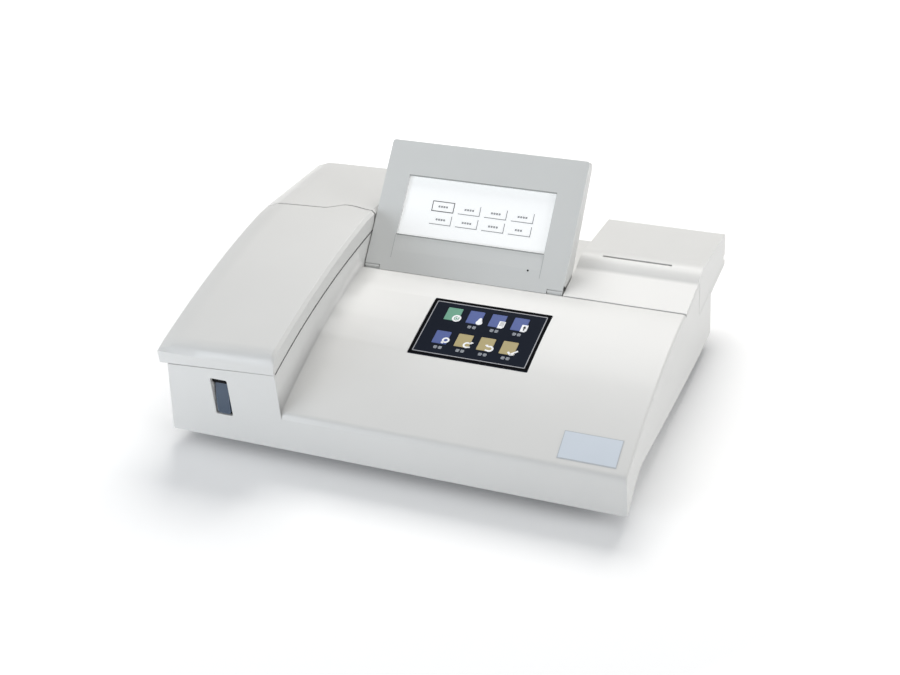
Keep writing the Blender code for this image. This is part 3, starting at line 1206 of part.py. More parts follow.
def make_rocker():
    """Rocker switch and the frame it tilts in."""
    middle = (PANEL_FOOT + PANEL_TOP) / 2
    face = front(BASE_DEPTH) + REST_GAP * 2 + PANEL_THICK
    wall = ROCKER_FRAME_WALL
    half_x, half_z = ROCKER_WIDTH / 2, ROCKER_HEIGHT / 2
    frame = box("frame", (ROCKER_X - half_x - wall, face - ROCKER_DEPTH, middle - half_z - wall),
                (ROCKER_X + half_x + wall, face + wall / 2, middle + half_z + wall))
    flange = round_box("flange", (ROCKER_X - half_x - wall * 2, face, middle - half_z - wall * 2),
                       (ROCKER_X + half_x + wall * 2, face + wall / 2, middle + half_z + wall * 2),
                       wall, EDGE_STEPS, "y")
    join(frame, flange)
    pivot = (face - wall, middle)
    well = box("well", (ROCKER_X - half_x, face - ROCKER_DEPTH + wall, middle - half_z),
               (ROCKER_X + half_x, face + OVERRUN, middle + half_z))
    cut(frame, well, rod("bore", pivot, ROCKER_PIN_RADIUS + REST_GAP, ROCKER_X - half_x - wall - OVERRUN,
                         ROCKER_X + half_x + wall + OVERRUN, "x", 12))
    node(frame, "switch_frame", "black plastic")
    reach = half_z - REST_GAP * 4
    proud = pivot[0] + wall + ROCKER_PROUD
    outline = [(proud + ROCKER_PROUD, middle + reach), (proud, middle), (proud + ROCKER_PROUD, middle - reach),
               (pivot[0] - wall / 2, middle - reach), (pivot[0] - wall * 2, middle),
               (pivot[0] - wall / 2, middle + reach)]
    side = half_x - REST_GAP
    rocker = prism("rocker", outline, ROCKER_X - side, ROCKER_X + side, "x")
    join(rocker, rod("pin", pivot, ROCKER_PIN_RADIUS, ROCKER_X - half_x - wall, ROCKER_X + half_x + wall, "x", 12))
    turn(rocker, ROCKER_TILT, "X", (ROCKER_X, pivot[0], middle))
    node(rocker, "power_rocker", "black plastic", (ROCKER_X, pivot[0], middle))


def make_ports():
    """Nine-way serial socket and the waste spout."""
    middle = (PANEL_FOOT + PANEL_TOP) / 2
    inside = front(BASE_DEPTH - WALL)
    face = front(BASE_DEPTH) + PANEL_THICK + REST_GAP
    half, tall = SERIAL_SHELL_WIDTH / 2, SERIAL_SHELL_HEIGHT / 2
    outline = [(SERIAL_X - half + SERIAL_SLANT, middle - tall), (SERIAL_X + half - SERIAL_SLANT, middle - tall),
               (SERIAL_X + half, middle + tall), (SERIAL_X - half, middle + tall)]
    shell = prism("shell", outline, inside - SERIAL_SHELL_DEPTH, face + SERIAL_SHELL_DEPTH, "y")
    rim = 1 - SERIAL_SLANT / half
    inner = [(SERIAL_X + (x - SERIAL_X) * rim, middle + (z - middle) * rim) for x, z in outline]
    cut(shell, prism("well", inner, face - WALL, face + SERIAL_SHELL_DEPTH + OVERRUN, "y"))
    block_front = front(BASE_DEPTH) - SERIAL_SHELL_DEPTH * 2
    block = box("block", (SERIAL_X - SERIAL_WIDTH / 2, block_front, middle - SERIAL_HEIGHT / 2),
                (SERIAL_X + SERIAL_WIDTH / 2, front(BASE_DEPTH), middle + SERIAL_HEIGHT / 2))
    join(shell, block)
    node(shell, "serial_port", "steel")
    spout = turned("spout", (WASTE_X, middle),
                   [(WASTE_RADIUS, front(BASE_DEPTH) - WASTE_REACH), (WASTE_RADIUS, face),
                    (WASTE_RADIUS - REST_GAP * 3, face + REST_GAP), (WASTE_BORE + REST_GAP * 2, face + WASTE_REACH)],
                   "y", 16)
    cut(spout, rod("bore", (WASTE_X, middle), WASTE_BORE, front(BASE_DEPTH) - WASTE_REACH - OVERRUN,
                   face + WASTE_REACH + OVERRUN, "y", 16))
    node(spout, "waste_spout", "gear white")


def make_fan():
    """Axial fan behind the rear panel: square frame with struts, and a bladed rotor."""
    middle = (PANEL_FOOT + PANEL_TOP) / 2
    rear = front(BASE_DEPTH - WALL) - REST_GAP
    start = rear - FAN_DEPTH
    half = FAN_SIZE / 2
    frame = round_box("frame", (FAN_X - half, start, middle - half), (FAN_X + half, rear, middle + half),
                      FAN_CORNER, 2, "y")
    cut(frame, rod("bore", (FAN_X, middle), FAN_BORE_RADIUS, start - OVERRUN, rear + OVERRUN, "y", 32))
    hub = rod("hub", (FAN_X, middle), FAN_HUB_RADIUS, start, start + FAN_STRUT_DEPTH, "y", 24)
    for i in range(FAN_STRUTS):
        strut = box("strut", (-FAN_STRUT / 2, start, 0.0),
                    (FAN_STRUT / 2, start + FAN_STRUT_DEPTH, FAN_BORE_RADIUS + FAN_STRUT / 2))
        turn(strut, math.radians(RIGHT_ANGLE * (i + 1 / 2)), "Y", (0.0, 0.0, 0.0))
        strut.data.transform(Matrix.Translation((FAN_X, 0.0, middle)))
        join(hub, strut)
    join(frame, hub)
    cut(frame, rod("bore", (FAN_X, middle), FAN_SHAFT_RADIUS + REST_GAP, start - OVERRUN, rear + OVERRUN, "y", 16))
    node(frame, "fan_frame", "black plastic")
    hub_front = start + FAN_STRUT_DEPTH + REST_GAP
    hub_rear = rear - FAN_BLADE_TIP_GAP
    rotor = rod("rotor", (FAN_X, middle), FAN_HUB_RADIUS, hub_front, hub_rear, "y", 24)
    tip = FAN_BORE_RADIUS - FAN_BLADE_TIP_GAP
    depth = (hub_rear - hub_front) / 2 - FAN_BLADE_THICK / 2
    rings = []
    for share in spread(0.0, 1.0, 3):
        reach = FAN_HUB_RADIUS - FAN_BLADE_THICK + (tip - FAN_HUB_RADIUS + FAN_BLADE_THICK) * share
        twist = FAN_BLADE_PITCH * (1 + (1 - share) / 3)
        across = depth / math.tan(twist)
        lean = Vector((across, depth, 0.0))
        side = Vector((-math.sin(twist), math.cos(twist), 0.0)) * FAN_BLADE_THICK / 2
        base = Vector((0.0, 0.0, reach))
        rings.append([base - lean - side, base + lean - side, base + lean + side, base - lean + side])
    for i in range(FAN_BLADES):
        blade = loft("blade", rings)
        turn(blade, math.tau * i / FAN_BLADES, "Y", (0.0, 0.0, 0.0))
        blade.data.transform(Matrix.Translation((FAN_X, (hub_front + hub_rear) / 2, middle)))
        join(rotor, blade)
    clip = rod("clip", (FAN_X, middle), tip, hub_front, hub_rear, "y", 32)
    common(rotor, clip)
    join(rotor, rod("shaft", (FAN_X, middle), FAN_SHAFT_RADIUS, start, hub_rear - FAN_BLADE_THICK, "y", 12))
    node(rotor, "fan_rotor", "black plastic", (FAN_X, rear, middle))


def tray_edge(y):
    """Half width of the bottom tray, inside the undercut walls."""
    return CASE_WIDTH / 2 - scoop(y) - WALL - TRAY_GAP


def foot_places():
    """Name, X and Y of each foot."""
    return [("foot_front_left", -FOOT_X, FOOT_FRONT_Y), ("foot_front_right", FOOT_X, FOOT_FRONT_Y),
            ("foot_rear_left", -FOOT_X, FOOT_REAR_Y), ("foot_rear_right", FOOT_X, FOOT_REAR_Y)]


def make_tray():
    """Bottom tray that follows the undercut walls, with bosses and slots, and four feet."""
    stations = [y for y in body_stations(BASE_DEPTH) if WALL * 2 < y < BASE_DEPTH - WALL * 2]
    stations = [WALL + TRAY_GAP] + stations + [BASE_DEPTH - WALL - TRAY_GAP]
    outline = [(tray_edge(y), front(y)) for y in stations]
    outline += [(-tray_edge(y), front(y)) for y in reversed(stations)]
    floor = FOOT_HEIGHT
    tray = prism("tray", outline, floor, floor + TRAY_THICK, "z")
    top = floor + TRAY_THICK
    head = top + TRAY_BOSS_HEIGHT
    for _, x, y in foot_places():
        join(tray, rod("boss", (x, front(y)), TRAY_BOSS_RADIUS, top - TRAY_THICK / 2, head, "z", 16))
        cut(tray, rod("bore", (x, front(y)), TRAY_BOSS_RADIUS / 2, floor - OVERRUN, head + OVERRUN, "z", 12))
    for i in range(VENT_COUNT):
        x = SUPPLY_LOW_X + VENT_PITCH * (i - 1)
        cut(tray, round_box("vent", (x, front(SUPPLY_FRONT_Y + VENT_PITCH), floor - OVERRUN),
                            (x + VENT_WIDTH, front(SUPPLY_REAR_Y - VENT_PITCH), top + OVERRUN),
                            VENT_WIDTH / 2 - REST_GAP, 2))
    reach = BOARD_LENGTH / 2 - TRAY_BOSS_RADIUS
    for y in (BOARD_FRONT_Y + TRAY_BOSS_RADIUS, BOARD_FRONT_Y + BOARD_DEPTH - TRAY_BOSS_RADIUS):
        for x in (BOARD_X - reach, BOARD_X + reach):
            join(tray, rod("post", (x, front(y)), TRAY_BOSS_RADIUS / 2, top - TRAY_THICK / 2,
                           head - REST_GAP, "z", 12))
    node(tray, "bottom_tray", "black plastic")
    for name, x, y in foot_places():
        foot = turned(name, (x, front(y)),
                      [(FOOT_RADIUS - FOOT_TAPER - FOOT_RIM, 0.0), (FOOT_RADIUS - FOOT_TAPER, FOOT_RIM),
                       (FOOT_RADIUS, floor - REST_GAP)], "z", 24)
        node(foot, name, "rubber")


def make_electronics():
    """Main board on its posts, and the power supply in its ribbed can."""
    foot = FOOT_HEIGHT + TRAY_THICK + TRAY_BOSS_HEIGHT
    board = box("board", (BOARD_X - BOARD_LENGTH / 2, front(BOARD_FRONT_Y), foot),
                (BOARD_X + BOARD_LENGTH / 2, front(BOARD_FRONT_Y + BOARD_DEPTH), foot + BOARD_THICK))
    top = foot + BOARD_THICK
    length, depth = BOARD_LENGTH, BOARD_DEPTH
    for x_share, y_share, size_share in BOARD_CHIP_SHARES:
        x = BOARD_X + length * x_share
        y = front(BOARD_FRONT_Y + depth * y_share)
        half = length * size_share / 2
        join(board, box("chip", (x - half, y - half, top - BOARD_THICK / 2),
                        (x + half, y + half, top + CHIP_HEIGHT)))
    node(board, "main_board", "circuit green")
    low = FOOT_HEIGHT + TRAY_THICK + REST_GAP
    can = box("can", (SUPPLY_LOW_X, front(SUPPLY_FRONT_Y), low),
              (SUPPLY_HIGH_X, front(SUPPLY_REAR_Y), low + SUPPLY_HEIGHT))
    pitch = (SUPPLY_HIGH_X - SUPPLY_LOW_X) / (VENT_COUNT + 1)
    for i in range(VENT_COUNT):
        x = SUPPLY_LOW_X + pitch * (i + 1)
        cut(can, box("groove", (x - SUPPLY_FIN / 2, front(SUPPLY_FRONT_Y - OVERRUN),
                                low + SUPPLY_HEIGHT - SUPPLY_FIN),
                     (x + SUPPLY_FIN / 2, front(SUPPLY_REAR_Y + OVERRUN), low + SUPPLY_HEIGHT + OVERRUN)))
    node(can, "power_supply", "aluminium")


def make_bench():
    """Optical bench on four legs with the beam parts along one line from lamp to detector."""
    foot = FOOT_HEIGHT + TRAY_THICK + REST_GAP
    low, high = BENCH_HEIGHT, BENCH_HEIGHT + BENCH_THICK
    plate = box("bench", (BENCH_LEFT, front(BENCH_FRONT_Y), low), (BENCH_RIGHT, front(BENCH_REAR_Y), high))
    for x in (BENCH_LEFT, BENCH_RIGHT - BENCH_LEG):
        for y in (BENCH_FRONT_Y, BENCH_REAR_Y - BENCH_LEG):
            leg = box("leg", (x, front(y), foot), (x + BENCH_LEG, front(y) + BENCH_LEG, low + BENCH_THICK / 2))
            join(plate, leg)
    node(plate, "optical_bench", "aluminium")
    seat = high + REST_GAP
    beam = high + BEAM_HEIGHT
    tube_end = make_lamp(seat, beam)
    make_filter_wheel(seat, beam, tube_end)
    make_cell(seat, beam)


def make_lamp(seat, beam):
    """Finned lamp house with its port, and the lens tube in front of it; returns the tube's end."""
    half = LAMP_SIZE / 2
    middle = front(LAMP_Y)
    lamp = box("lamp", (LAMP_X - half, middle - half, seat), (LAMP_X + half, middle + half, seat + LAMP_HEIGHT))
    pitch = LAMP_SIZE / (LAMP_FINS + 1)
    fin_foot = seat + LAMP_HEIGHT * LAMP_FIN_SHARE
    for i in range(LAMP_FINS):
        x = LAMP_X - half + pitch * (i + 1)
        cut(lamp, box("groove", (x - pitch / 4, middle - half - OVERRUN, fin_foot),
                      (x + pitch / 4, middle + half + OVERRUN, seat + LAMP_HEIGHT + OVERRUN)))
    cut(lamp, rod("port", (LAMP_X, beam), TUBE_BORE, middle - half - OVERRUN, middle, "y", 16))
    node(lamp, "lamp_house", "black metal")
    rear = middle - half - REST_GAP
    end = rear - TUBE_LENGTH
    tube = turned("tube", (LAMP_X, beam),
                  [(TUBE_FLANGE_RADIUS, rear), (TUBE_FLANGE_RADIUS, rear - TUBE_FLANGE),
                   (TUBE_RADIUS, rear - TUBE_FLANGE), (TUBE_RADIUS, end)], "y", 24)
    saddle = box("saddle", (LAMP_X - TUBE_RADIUS / 2, end + TUBE_FLANGE, seat),
                 (LAMP_X + TUBE_RADIUS / 2, rear - TUBE_FLANGE, beam - TUBE_BORE))
    join(tube, saddle)
    cut(tube, rod("bore", (LAMP_X, beam), TUBE_BORE, end - OVERRUN, rear + OVERRUN, "y", 16))
    node(tube, "lens_tube", "black metal")
    return end


def make_filter_wheel(seat, beam, start):
    """Filter wheel with a ring of blind ports, on the shaft of its motor."""
    axis = (LAMP_X + WHEEL_FILTER_RING, beam)
    rear = start - WHEEL_CLEARANCE
    face = rear - WHEEL_THICK
    wheel = rod("wheel", axis, WHEEL_RADIUS, face, rear, "y", 40)
    for i in range(WHEEL_FILTERS):
        angle = math.tau * i / WHEEL_FILTERS + math.pi
        centre = (axis[0] + WHEEL_FILTER_RING * math.cos(angle), axis[1] + WHEEL_FILTER_RING * math.sin(angle))
        cut(wheel, rod("port", centre, WHEEL_FILTER_RADIUS, face + WHEEL_GLASS, rear + OVERRUN, "y", 16))
    motor_rear = face - WHEEL_CLEARANCE
    shaft = rod("shaft", axis, WHEEL_SHAFT_RADIUS, motor_rear - WHEEL_GRIP, face + WHEEL_GLASS / 2, "y", 16)
    join(wheel, shaft)
    node(wheel, "filter_wheel", "black metal", (axis[0], face, axis[1]))
    motor_front = motor_rear - STEPPER_LENGTH
    motor = rod("motor", axis, STEPPER_RADIUS, motor_front, motor_rear, "y", 24)
    post = box("post", (axis[0] - STEPPER_RADIUS / 2, motor_front + WHEEL_GLASS, seat),
               (axis[0] + STEPPER_RADIUS / 2, motor_rear - WHEEL_GLASS, axis[1]))
    join(motor, post)
    cut(motor, rod("bore", axis, WHEEL_SHAFT_RADIUS + REST_GAP, motor_rear - WHEEL_GRIP - WHEEL_GLASS,
                   motor_rear + OVERRUN, "y", 16))
    node(motor, "filter_motor", "steel")


def make_cell(seat, beam):
    """Flow cell block bored along the beam, with two nipples on top, and the detector."""
    half = CELL_SIZE / 2
    middle = front(CELL_Y)
    top = seat + CELL_HEIGHT
    cell = box("cell", (LAMP_X - half, middle - half, seat), (LAMP_X + half, middle + half, top))
    for sign in (-1, 1):
        spot = (LAMP_X + sign * half / 2, middle)
        nipple = rod("nipple", spot, NIPPLE_RADIUS, top - NIPPLE_RADIUS, top + NIPPLE_HEIGHT, "z", 12)
        join(cell, nipple)
    cut(cell, rod("beam", (LAMP_X, beam), CELL_BORE, middle - half - OVERRUN, middle + half + OVERRUN, "y", 16))
    node(cell, "flow_cell", "aluminium")
    spot = front(DETECTOR_Y)
    eye = box("eye", (LAMP_X - DETECTOR_SIZE / 2, spot - DETECTOR_DEPTH / 2, seat),
              (LAMP_X + DETECTOR_SIZE / 2, spot + DETECTOR_DEPTH / 2, beam + DETECTOR_SIZE / 2))
    cut(eye, rod("port", (LAMP_X, beam), CELL_BORE, spot, spot + DETECTOR_DEPTH, "y", 16))
    node(eye, "detector", "black plastic")


def make_pump():
    """Peristaltic pump: raceway housing on legs, motor below, rotor with three free rollers."""
    x, y = PUMP_X, front(PUMP_Y)
    half = PUMP_SIZE / 2
    low, top = PUMP_FOOT, PUMP_FOOT + PUMP_HEIGHT
    floor = low + PUMP_FLOOR
    seat = FOOT_HEIGHT + TRAY_THICK + REST_GAP
    housing = round_box("housing", (x - half, y - half, low), (x + half, y + half, top), PUMP_LEG_RADIUS)
    leg_step = half - PUMP_LEG_RADIUS - PUMP_HUB_PLATE
    for sign_x in (-1, 1):
        for sign_y in (-1, 1):
            spot = (x + sign_x * leg_step, y + sign_y * leg_step)
            join(housing, rod("leg", spot, PUMP_LEG_RADIUS, seat, low + PUMP_FLOOR / 2, "z", 16))
    track = rod("track", (x, y), PUMP_TRACK_RADIUS, floor, top + OVERRUN, "z", 40)
    gate = box("gate", (x - PUMP_ROLLER_RING, y, floor), (x + PUMP_ROLLER_RING, y + half + OVERRUN, top + OVERRUN))
    bore = rod("bore", (x, y), PUMP_SHAFT_RADIUS + REST_GAP, low - OVERRUN, floor + OVERRUN, "z", 16)
    cut(housing, track, gate, bore)
    node(housing, "pump_housing", "gear white")

    motor_top = low - REST_GAP
    motor = rod("motor", (x, y), PUMP_MOTOR_RADIUS, motor_top - PUMP_MOTOR_LENGTH, motor_top, "z", 28)
    cut(motor, rod("bore", (x, y), PUMP_SHAFT_RADIUS + REST_GAP, motor_top - PUMP_SHAFT_GRIP - PUMP_TOP_GAP,
                   motor_top + OVERRUN, "z", 16))
    node(motor, "pump_motor", "steel")

    disc = floor + REST_GAP
    axle_top = top - PUMP_TOP_GAP
    rotor = rod("rotor", (x, y), PUMP_HUB_RADIUS, disc, disc + PUMP_HUB_PLATE, "z", 32)
    boss = rod("boss", (x, y), PUMP_BOSS_RADIUS, disc + PUMP_HUB_PLATE / 2, axle_top, "z", 20)
    shaft = rod("shaft", (x, y), PUMP_SHAFT_RADIUS, motor_top - PUMP_SHAFT_GRIP,
                disc + PUMP_HUB_PLATE / 2, "z", 16)
    join(rotor, boss, shaft)
    spots = []
    for i in range(PUMP_ROLLERS):
        angle = math.tau * i / PUMP_ROLLERS - math.pi / 2
        spots.append((x + PUMP_ROLLER_RING * math.cos(angle), y + PUMP_ROLLER_RING * math.sin(angle)))
    for spot in spots:
        join(rotor, rod("axle", spot, PUMP_AXLE_RADIUS, disc + PUMP_HUB_PLATE / 2, axle_top, "z", 12))
    node(rotor, "pump_rotor", "gear white", (x, y, disc))
    foot = disc + PUMP_HUB_PLATE + REST_GAP
    for i, spot in enumerate(spots):
        roller = rod("roller", spot, PUMP_ROLLER_RADIUS, foot, axle_top - PUMP_TOP_GAP, "z", 20)
        cut(roller, rod("bore", spot, PUMP_AXLE_RADIUS + REST_GAP, foot - OVERRUN, top + OVERRUN, "z", 16))
        node(roller, f"pump_roller_{i + 1}", "steel", (spot[0], spot[1], foot))


def involute(base, radius):
    """Angle an involute flank has turned through at a radius."""
    angle = math.acos(base / radius)
    return math.tan(angle) - angle


def gear_outline(centre, teeth, phase):
    """Involute gear outline; one tooth points along the phase, in radians."""
    pitch = GEAR_MODULE * teeth / 2
    base = pitch * math.cos(PRESSURE_ANGLE)
    tip = pitch + GEAR_MODULE * GEAR_ADDENDUM_SHARE
    root = pitch - GEAR_MODULE * GEAR_DEDENDUM_SHARE
    start = max(base, root)
    half = math.pi / (2 * teeth) - GEAR_BACKLASH / (2 * pitch) + involute(base, pitch)
    flank = [(root, half)] if root < base else []
    flank += [(r, half - involute(base, r)) for r in spread(start, tip, FLANK_STEPS)]
    points = []
    for i in range(teeth):
        middle = phase + math.tau * i / teeth
        points += [(r, middle - a) for r, a in flank]
        points += [(r, middle + a) for r, a in reversed(flank)]
    return [(centre[0] + r * math.cos(a), centre[1] + r * math.sin(a)) for r, a in points]


def make_gear(name, centre, teeth, phase, low, bore):
    """Spur gear turning about an X axis; centre holds Y and Z."""
    gear = prism(name, gear_outline(centre, teeth, phase), low, low + GEAR_THICK, "x")
    if bore:
        cut(gear, rod("bore", centre, bore, low - OVERRUN, low + GEAR_THICK + OVERRUN, "x", 20))
    return gear


def gear_centres():
    """Centres of the platen, idler and pinion gears as Y and Z."""
    platen = (front(PRINTER_Y), PLATEN_Z)
    idler = (platen[0], platen[1] - GEAR_MODULE * (PLATEN_TEETH + IDLER_TEETH) / 2)
    span = GEAR_MODULE * (IDLER_TEETH + PINION_TEETH) / 2
    pinion = (idler[0] + span * math.cos(PINION_ANGLE), idler[1] + span * math.sin(PINION_ANGLE))
    return platen, idler, pinion


def make_gear_train():
    """Three meshing gears beside the printer frame, and the motor that drives them."""
    platen, idler, pinion = gear_centres()
    low = PRINTER_SIDE_RIGHT + GEAR_GAP
    gear = make_gear("platen", platen, PLATEN_TEETH, -math.pi / 2, low, PLATEN_SHAFT + REST_GAP)
    node(gear, "platen_gear", "gear white", (low, *platen))
    idler_phase = math.pi / 2 + math.pi / IDLER_TEETH
    gear = make_gear("idler", idler, IDLER_TEETH, idler_phase, low, IDLER_AXLE + REST_GAP)
    node(gear, "idler_gear", "gear white", (low, *idler))
    pitch = math.tau / IDLER_TEETH
    lead = (idler_phase - PINION_ANGLE + pitch / 2) % pitch - pitch / 2
    phase = PINION_ANGLE + math.pi - lead * IDLER_TEETH / PINION_TEETH + math.pi / PINION_TEETH
    gear = make_gear("pinion", pinion, PINION_TEETH, phase, low, 0.0)
    high = low + GEAR_THICK
    motor_left = high + MOTOR_GAP
    motor_right = motor_left + PRINT_MOTOR_LENGTH
    shaft_end = (motor_left + motor_right) / 2
    join(gear, rod("shaft", pinion, PINION_SHAFT, low + GEAR_THICK / 2, shaft_end, "x", 16))
    node(gear, "motor_pinion", "brass", (low, *pinion))
    motor = rod("motor", pinion, PRINT_MOTOR_RADIUS, motor_left, motor_right, "x", 24)
    foot = box("foot", (motor_left + MOTOR_GAP, pinion[0] - PRINT_MOTOR_RADIUS / 2, PRINTER_SHELF + REST_GAP),
               (motor_right - MOTOR_GAP, pinion[0] + PRINT_MOTOR_RADIUS / 2, pinion[1]))
    join(motor, foot)
    cut(motor, rod("bore", pinion, PINION_SHAFT + REST_GAP, motor_left - OVERRUN, shaft_end + MOTOR_GAP, "x", 16))
    node(motor, "printer_motor", "steel")


def make_print_unit():
    """Steel frame with two side plates, the print head bar and the platen roller."""
    platen, idler, _ = gear_centres()
    left, right = PRINTER_SIDE_LEFT, PRINTER_SIDE_RIGHT
    foot = PRINTER_SHELF + REST_GAP
    low_y, high_y = platen[0] - FRAME_FRONT, platen[0] + FRAME_REAR
    frame = box("bar", (left, low_y, foot), (right, high_y, foot + FRAME_BASE))
    outline = [(low_y, foot), (high_y, foot), (high_y, idler[1]), (platen[0] + FRAME_TOP, platen[1] + FRAME_TOP),
               (platen[0] - FRAME_TOP, platen[1] + FRAME_TOP), (low_y, idler[1])]
    join(frame, prism("side", outline, left, left + PRINTER_SIDE, "x"),
         prism("side", outline, right - PRINTER_SIDE, right, "x"))
    axle_end = right + GEAR_GAP + GEAR_THICK + REST_GAP
    join(frame, rod("axle", idler, IDLER_AXLE, right - PRINTER_SIDE / 2, axle_end, "x", 16))
    bore = PLATEN_SHAFT + REST_GAP
    cut(frame, rod("bore", platen, bore, left - OVERRUN, left + OVERRUN, "x", 20),
        rod("bore", platen, bore, right - OVERRUN, right + OVERRUN, "x", 20))
    node(frame, "printer_frame", "steel")
    inset = PRINTER_SIDE + HEAD_SIDE_GAP
    rear = platen[0] + PLATEN_RADIUS + REST_GAP * 2
    head = box("head", (left + inset, rear, foot + FRAME_BASE + REST_GAP),
               (right - inset, rear + HEAD_THICK, platen[1] + HEAD_TOP))
    node(head, "print_head", "aluminium")
    roller = turned("platen", platen,
                    [(PLATEN_SHAFT, left - GEAR_GAP), (PLATEN_SHAFT, left + inset), (PLATEN_RADIUS, left + inset),
                     (PLATEN_RADIUS, right - inset), (PLATEN_SHAFT, right - inset), (PLATEN_SHAFT, axle_end)],
                    "x", 28)
    node(roller, "platen_roller", "rubber", ((left + right) / 2, *platen))


def make_paper_bay():
    """Paper tub on legs with a shelf for the printer, and the roll on its drop-in spindle."""
    left = PRINTER_LEFT + WALL + TRAY_GAP
    right = CASE_WIDTH / 2 - WALL - TRAY_GAP
    start = front(DECK_DEPTH + TRAY_GAP)
    end = front(BASE_DEPTH - WALL * 2 - TRAY_GAP)
    wall = TRAY_WALL
    bay_rear = front(ROLL_BAY_REAR)
    tub = box("tub", (left, start, PAPER_TRAY_FLOOR), (right, end, PAPER_TRAY_TOP))
    well = box("well", (left + wall, start + wall, PAPER_TRAY_FLOOR + wall),
               (right - wall, bay_rear, PAPER_TRAY_TOP + OVERRUN))
    above = box("above", (left - OVERRUN, bay_rear + wall, PRINTER_SHELF),
                (right + OVERRUN, end + OVERRUN, PAPER_TRAY_TOP + OVERRUN))
    below = box("below", (left + wall, bay_rear + wall, PAPER_TRAY_FLOOR - OVERRUN),
                (right - wall, end - wall, PRINTER_SHELF - wall))
    pass_half = INLET_WIDTH / 2 + TRAY_GAP
    inlet_top = (PANEL_FOOT + PANEL_TOP + INLET_HEIGHT) / 2 + TRAY_GAP
    inlet_pass = box("pass", (INLET_X - pass_half, end - wall - OVERRUN, PAPER_TRAY_FLOOR - OVERRUN),
                     (INLET_X + pass_half, end + OVERRUN, inlet_top))
    cut(tub, well, above, below, inlet_pass)
    roll = (front(ROLL_Y), ROLL_Z)
    half = ROLL_WIDTH / 2 + ROLL_SIDE_GAP
    for low in (ROLL_X - half - wall, ROLL_X + half):
        join(tub, box("partition", (low, start + wall / 2, PAPER_TRAY_FLOOR + wall / 2),
                      (low + wall, bay_rear + wall / 2, PAPER_TRAY_TOP)))
    reach = half + wall + OVERRUN
    pin = SPINDLE_PIN + REST_GAP
    cut(tub, rod("seat", roll, pin, ROLL_X - reach, ROLL_X + reach, "x", 20),
        box("mouth", (ROLL_X - reach, roll[0] - pin, ROLL_Z), (ROLL_X + reach, roll[0] + pin, ROLL_Z + OVERRUN)))
    foot = FOOT_HEIGHT + TRAY_THICK + REST_GAP
    for x in (left, right - PAPER_TRAY_LEG * 2):
        for y in (start, end - PAPER_TRAY_LEG):
            join(tub, box("leg", (x, y, foot),
                          (x + PAPER_TRAY_LEG, y + PAPER_TRAY_LEG, PAPER_TRAY_FLOOR + wall / 2)))
    node(tub, "paper_tray", "black plastic")
    span = ROLL_WIDTH / 2
    paper = rod("paper", roll, ROLL_RADIUS, ROLL_X - span, ROLL_X + span, "x", 48)
    cut(paper, rod("core", roll, ROLL_CORE, ROLL_X - span - OVERRUN, ROLL_X + span + OVERRUN, "x", 24))
    node(paper, "paper_roll", "paper", (ROLL_X, *roll))
    grip = ROLL_CORE - REST_GAP
    pin_end = half + wall + ROLL_SIDE_GAP
    spindle = turned("spindle", roll,
                     [(SPINDLE_PIN, ROLL_X - pin_end), (SPINDLE_PIN, ROLL_X - span), (grip, ROLL_X - span),
                      (grip, ROLL_X + span), (SPINDLE_PIN, ROLL_X + span), (SPINDLE_PIN, ROLL_X + pin_end)], "x", 24)
    node(spindle, "paper_spindle", "gear white", (ROLL_X, *roll))


def build():
    for piece in list(bpy.data.objects):
        bpy.data.objects.remove(piece)
    for make in (make_main_case, make_left_lid, make_printer_cover, make_hinge_rods, make_keypad, make_screen,
                 make_trigger, make_rear_panel, make_inlet, make_rocker, make_ports, make_fan, make_tray,
                 make_electronics, make_bench, make_pump, make_paper_bay, make_print_unit, make_gear_train):
        make()


build()
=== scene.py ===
"""Looks of a benchtop chemistry analyzer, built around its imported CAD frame.

Metres, +Z up, the operator on the -Y side. Every new piece is worked out as numpy arrays in the
frame's own coordinates, and rides on the CAD body that carries it.
"""
import json
import math

import bmesh
import bpy
import numpy as np
from mathutils import Matrix, Vector


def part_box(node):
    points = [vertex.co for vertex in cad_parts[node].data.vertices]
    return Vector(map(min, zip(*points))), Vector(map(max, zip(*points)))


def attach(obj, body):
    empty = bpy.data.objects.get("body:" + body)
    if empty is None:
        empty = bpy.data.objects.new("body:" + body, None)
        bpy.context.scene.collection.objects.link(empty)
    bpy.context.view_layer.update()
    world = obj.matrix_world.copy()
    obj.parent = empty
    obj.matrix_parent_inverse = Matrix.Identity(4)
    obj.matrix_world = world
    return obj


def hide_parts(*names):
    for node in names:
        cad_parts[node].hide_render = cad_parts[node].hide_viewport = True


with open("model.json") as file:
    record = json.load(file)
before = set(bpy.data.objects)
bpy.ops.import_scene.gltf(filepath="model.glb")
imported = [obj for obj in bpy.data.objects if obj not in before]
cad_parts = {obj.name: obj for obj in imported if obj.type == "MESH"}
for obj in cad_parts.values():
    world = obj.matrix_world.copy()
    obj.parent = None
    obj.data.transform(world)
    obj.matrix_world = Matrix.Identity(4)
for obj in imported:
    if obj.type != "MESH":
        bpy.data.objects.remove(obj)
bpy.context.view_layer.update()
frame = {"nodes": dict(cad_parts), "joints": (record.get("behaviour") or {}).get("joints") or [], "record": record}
record = frame["record"]
body_of_node = {n: b for b, members in record["behaviour"]["bodies"].items() for n in members}
slot_of_node = {row["node"]: row["material_slot"] for row in record["subparts"]}
joint_at = {j["child"]: j for j in frame["joints"]}

MM = 0.001
FRONT = -0.16225            # the case's front face, in Y

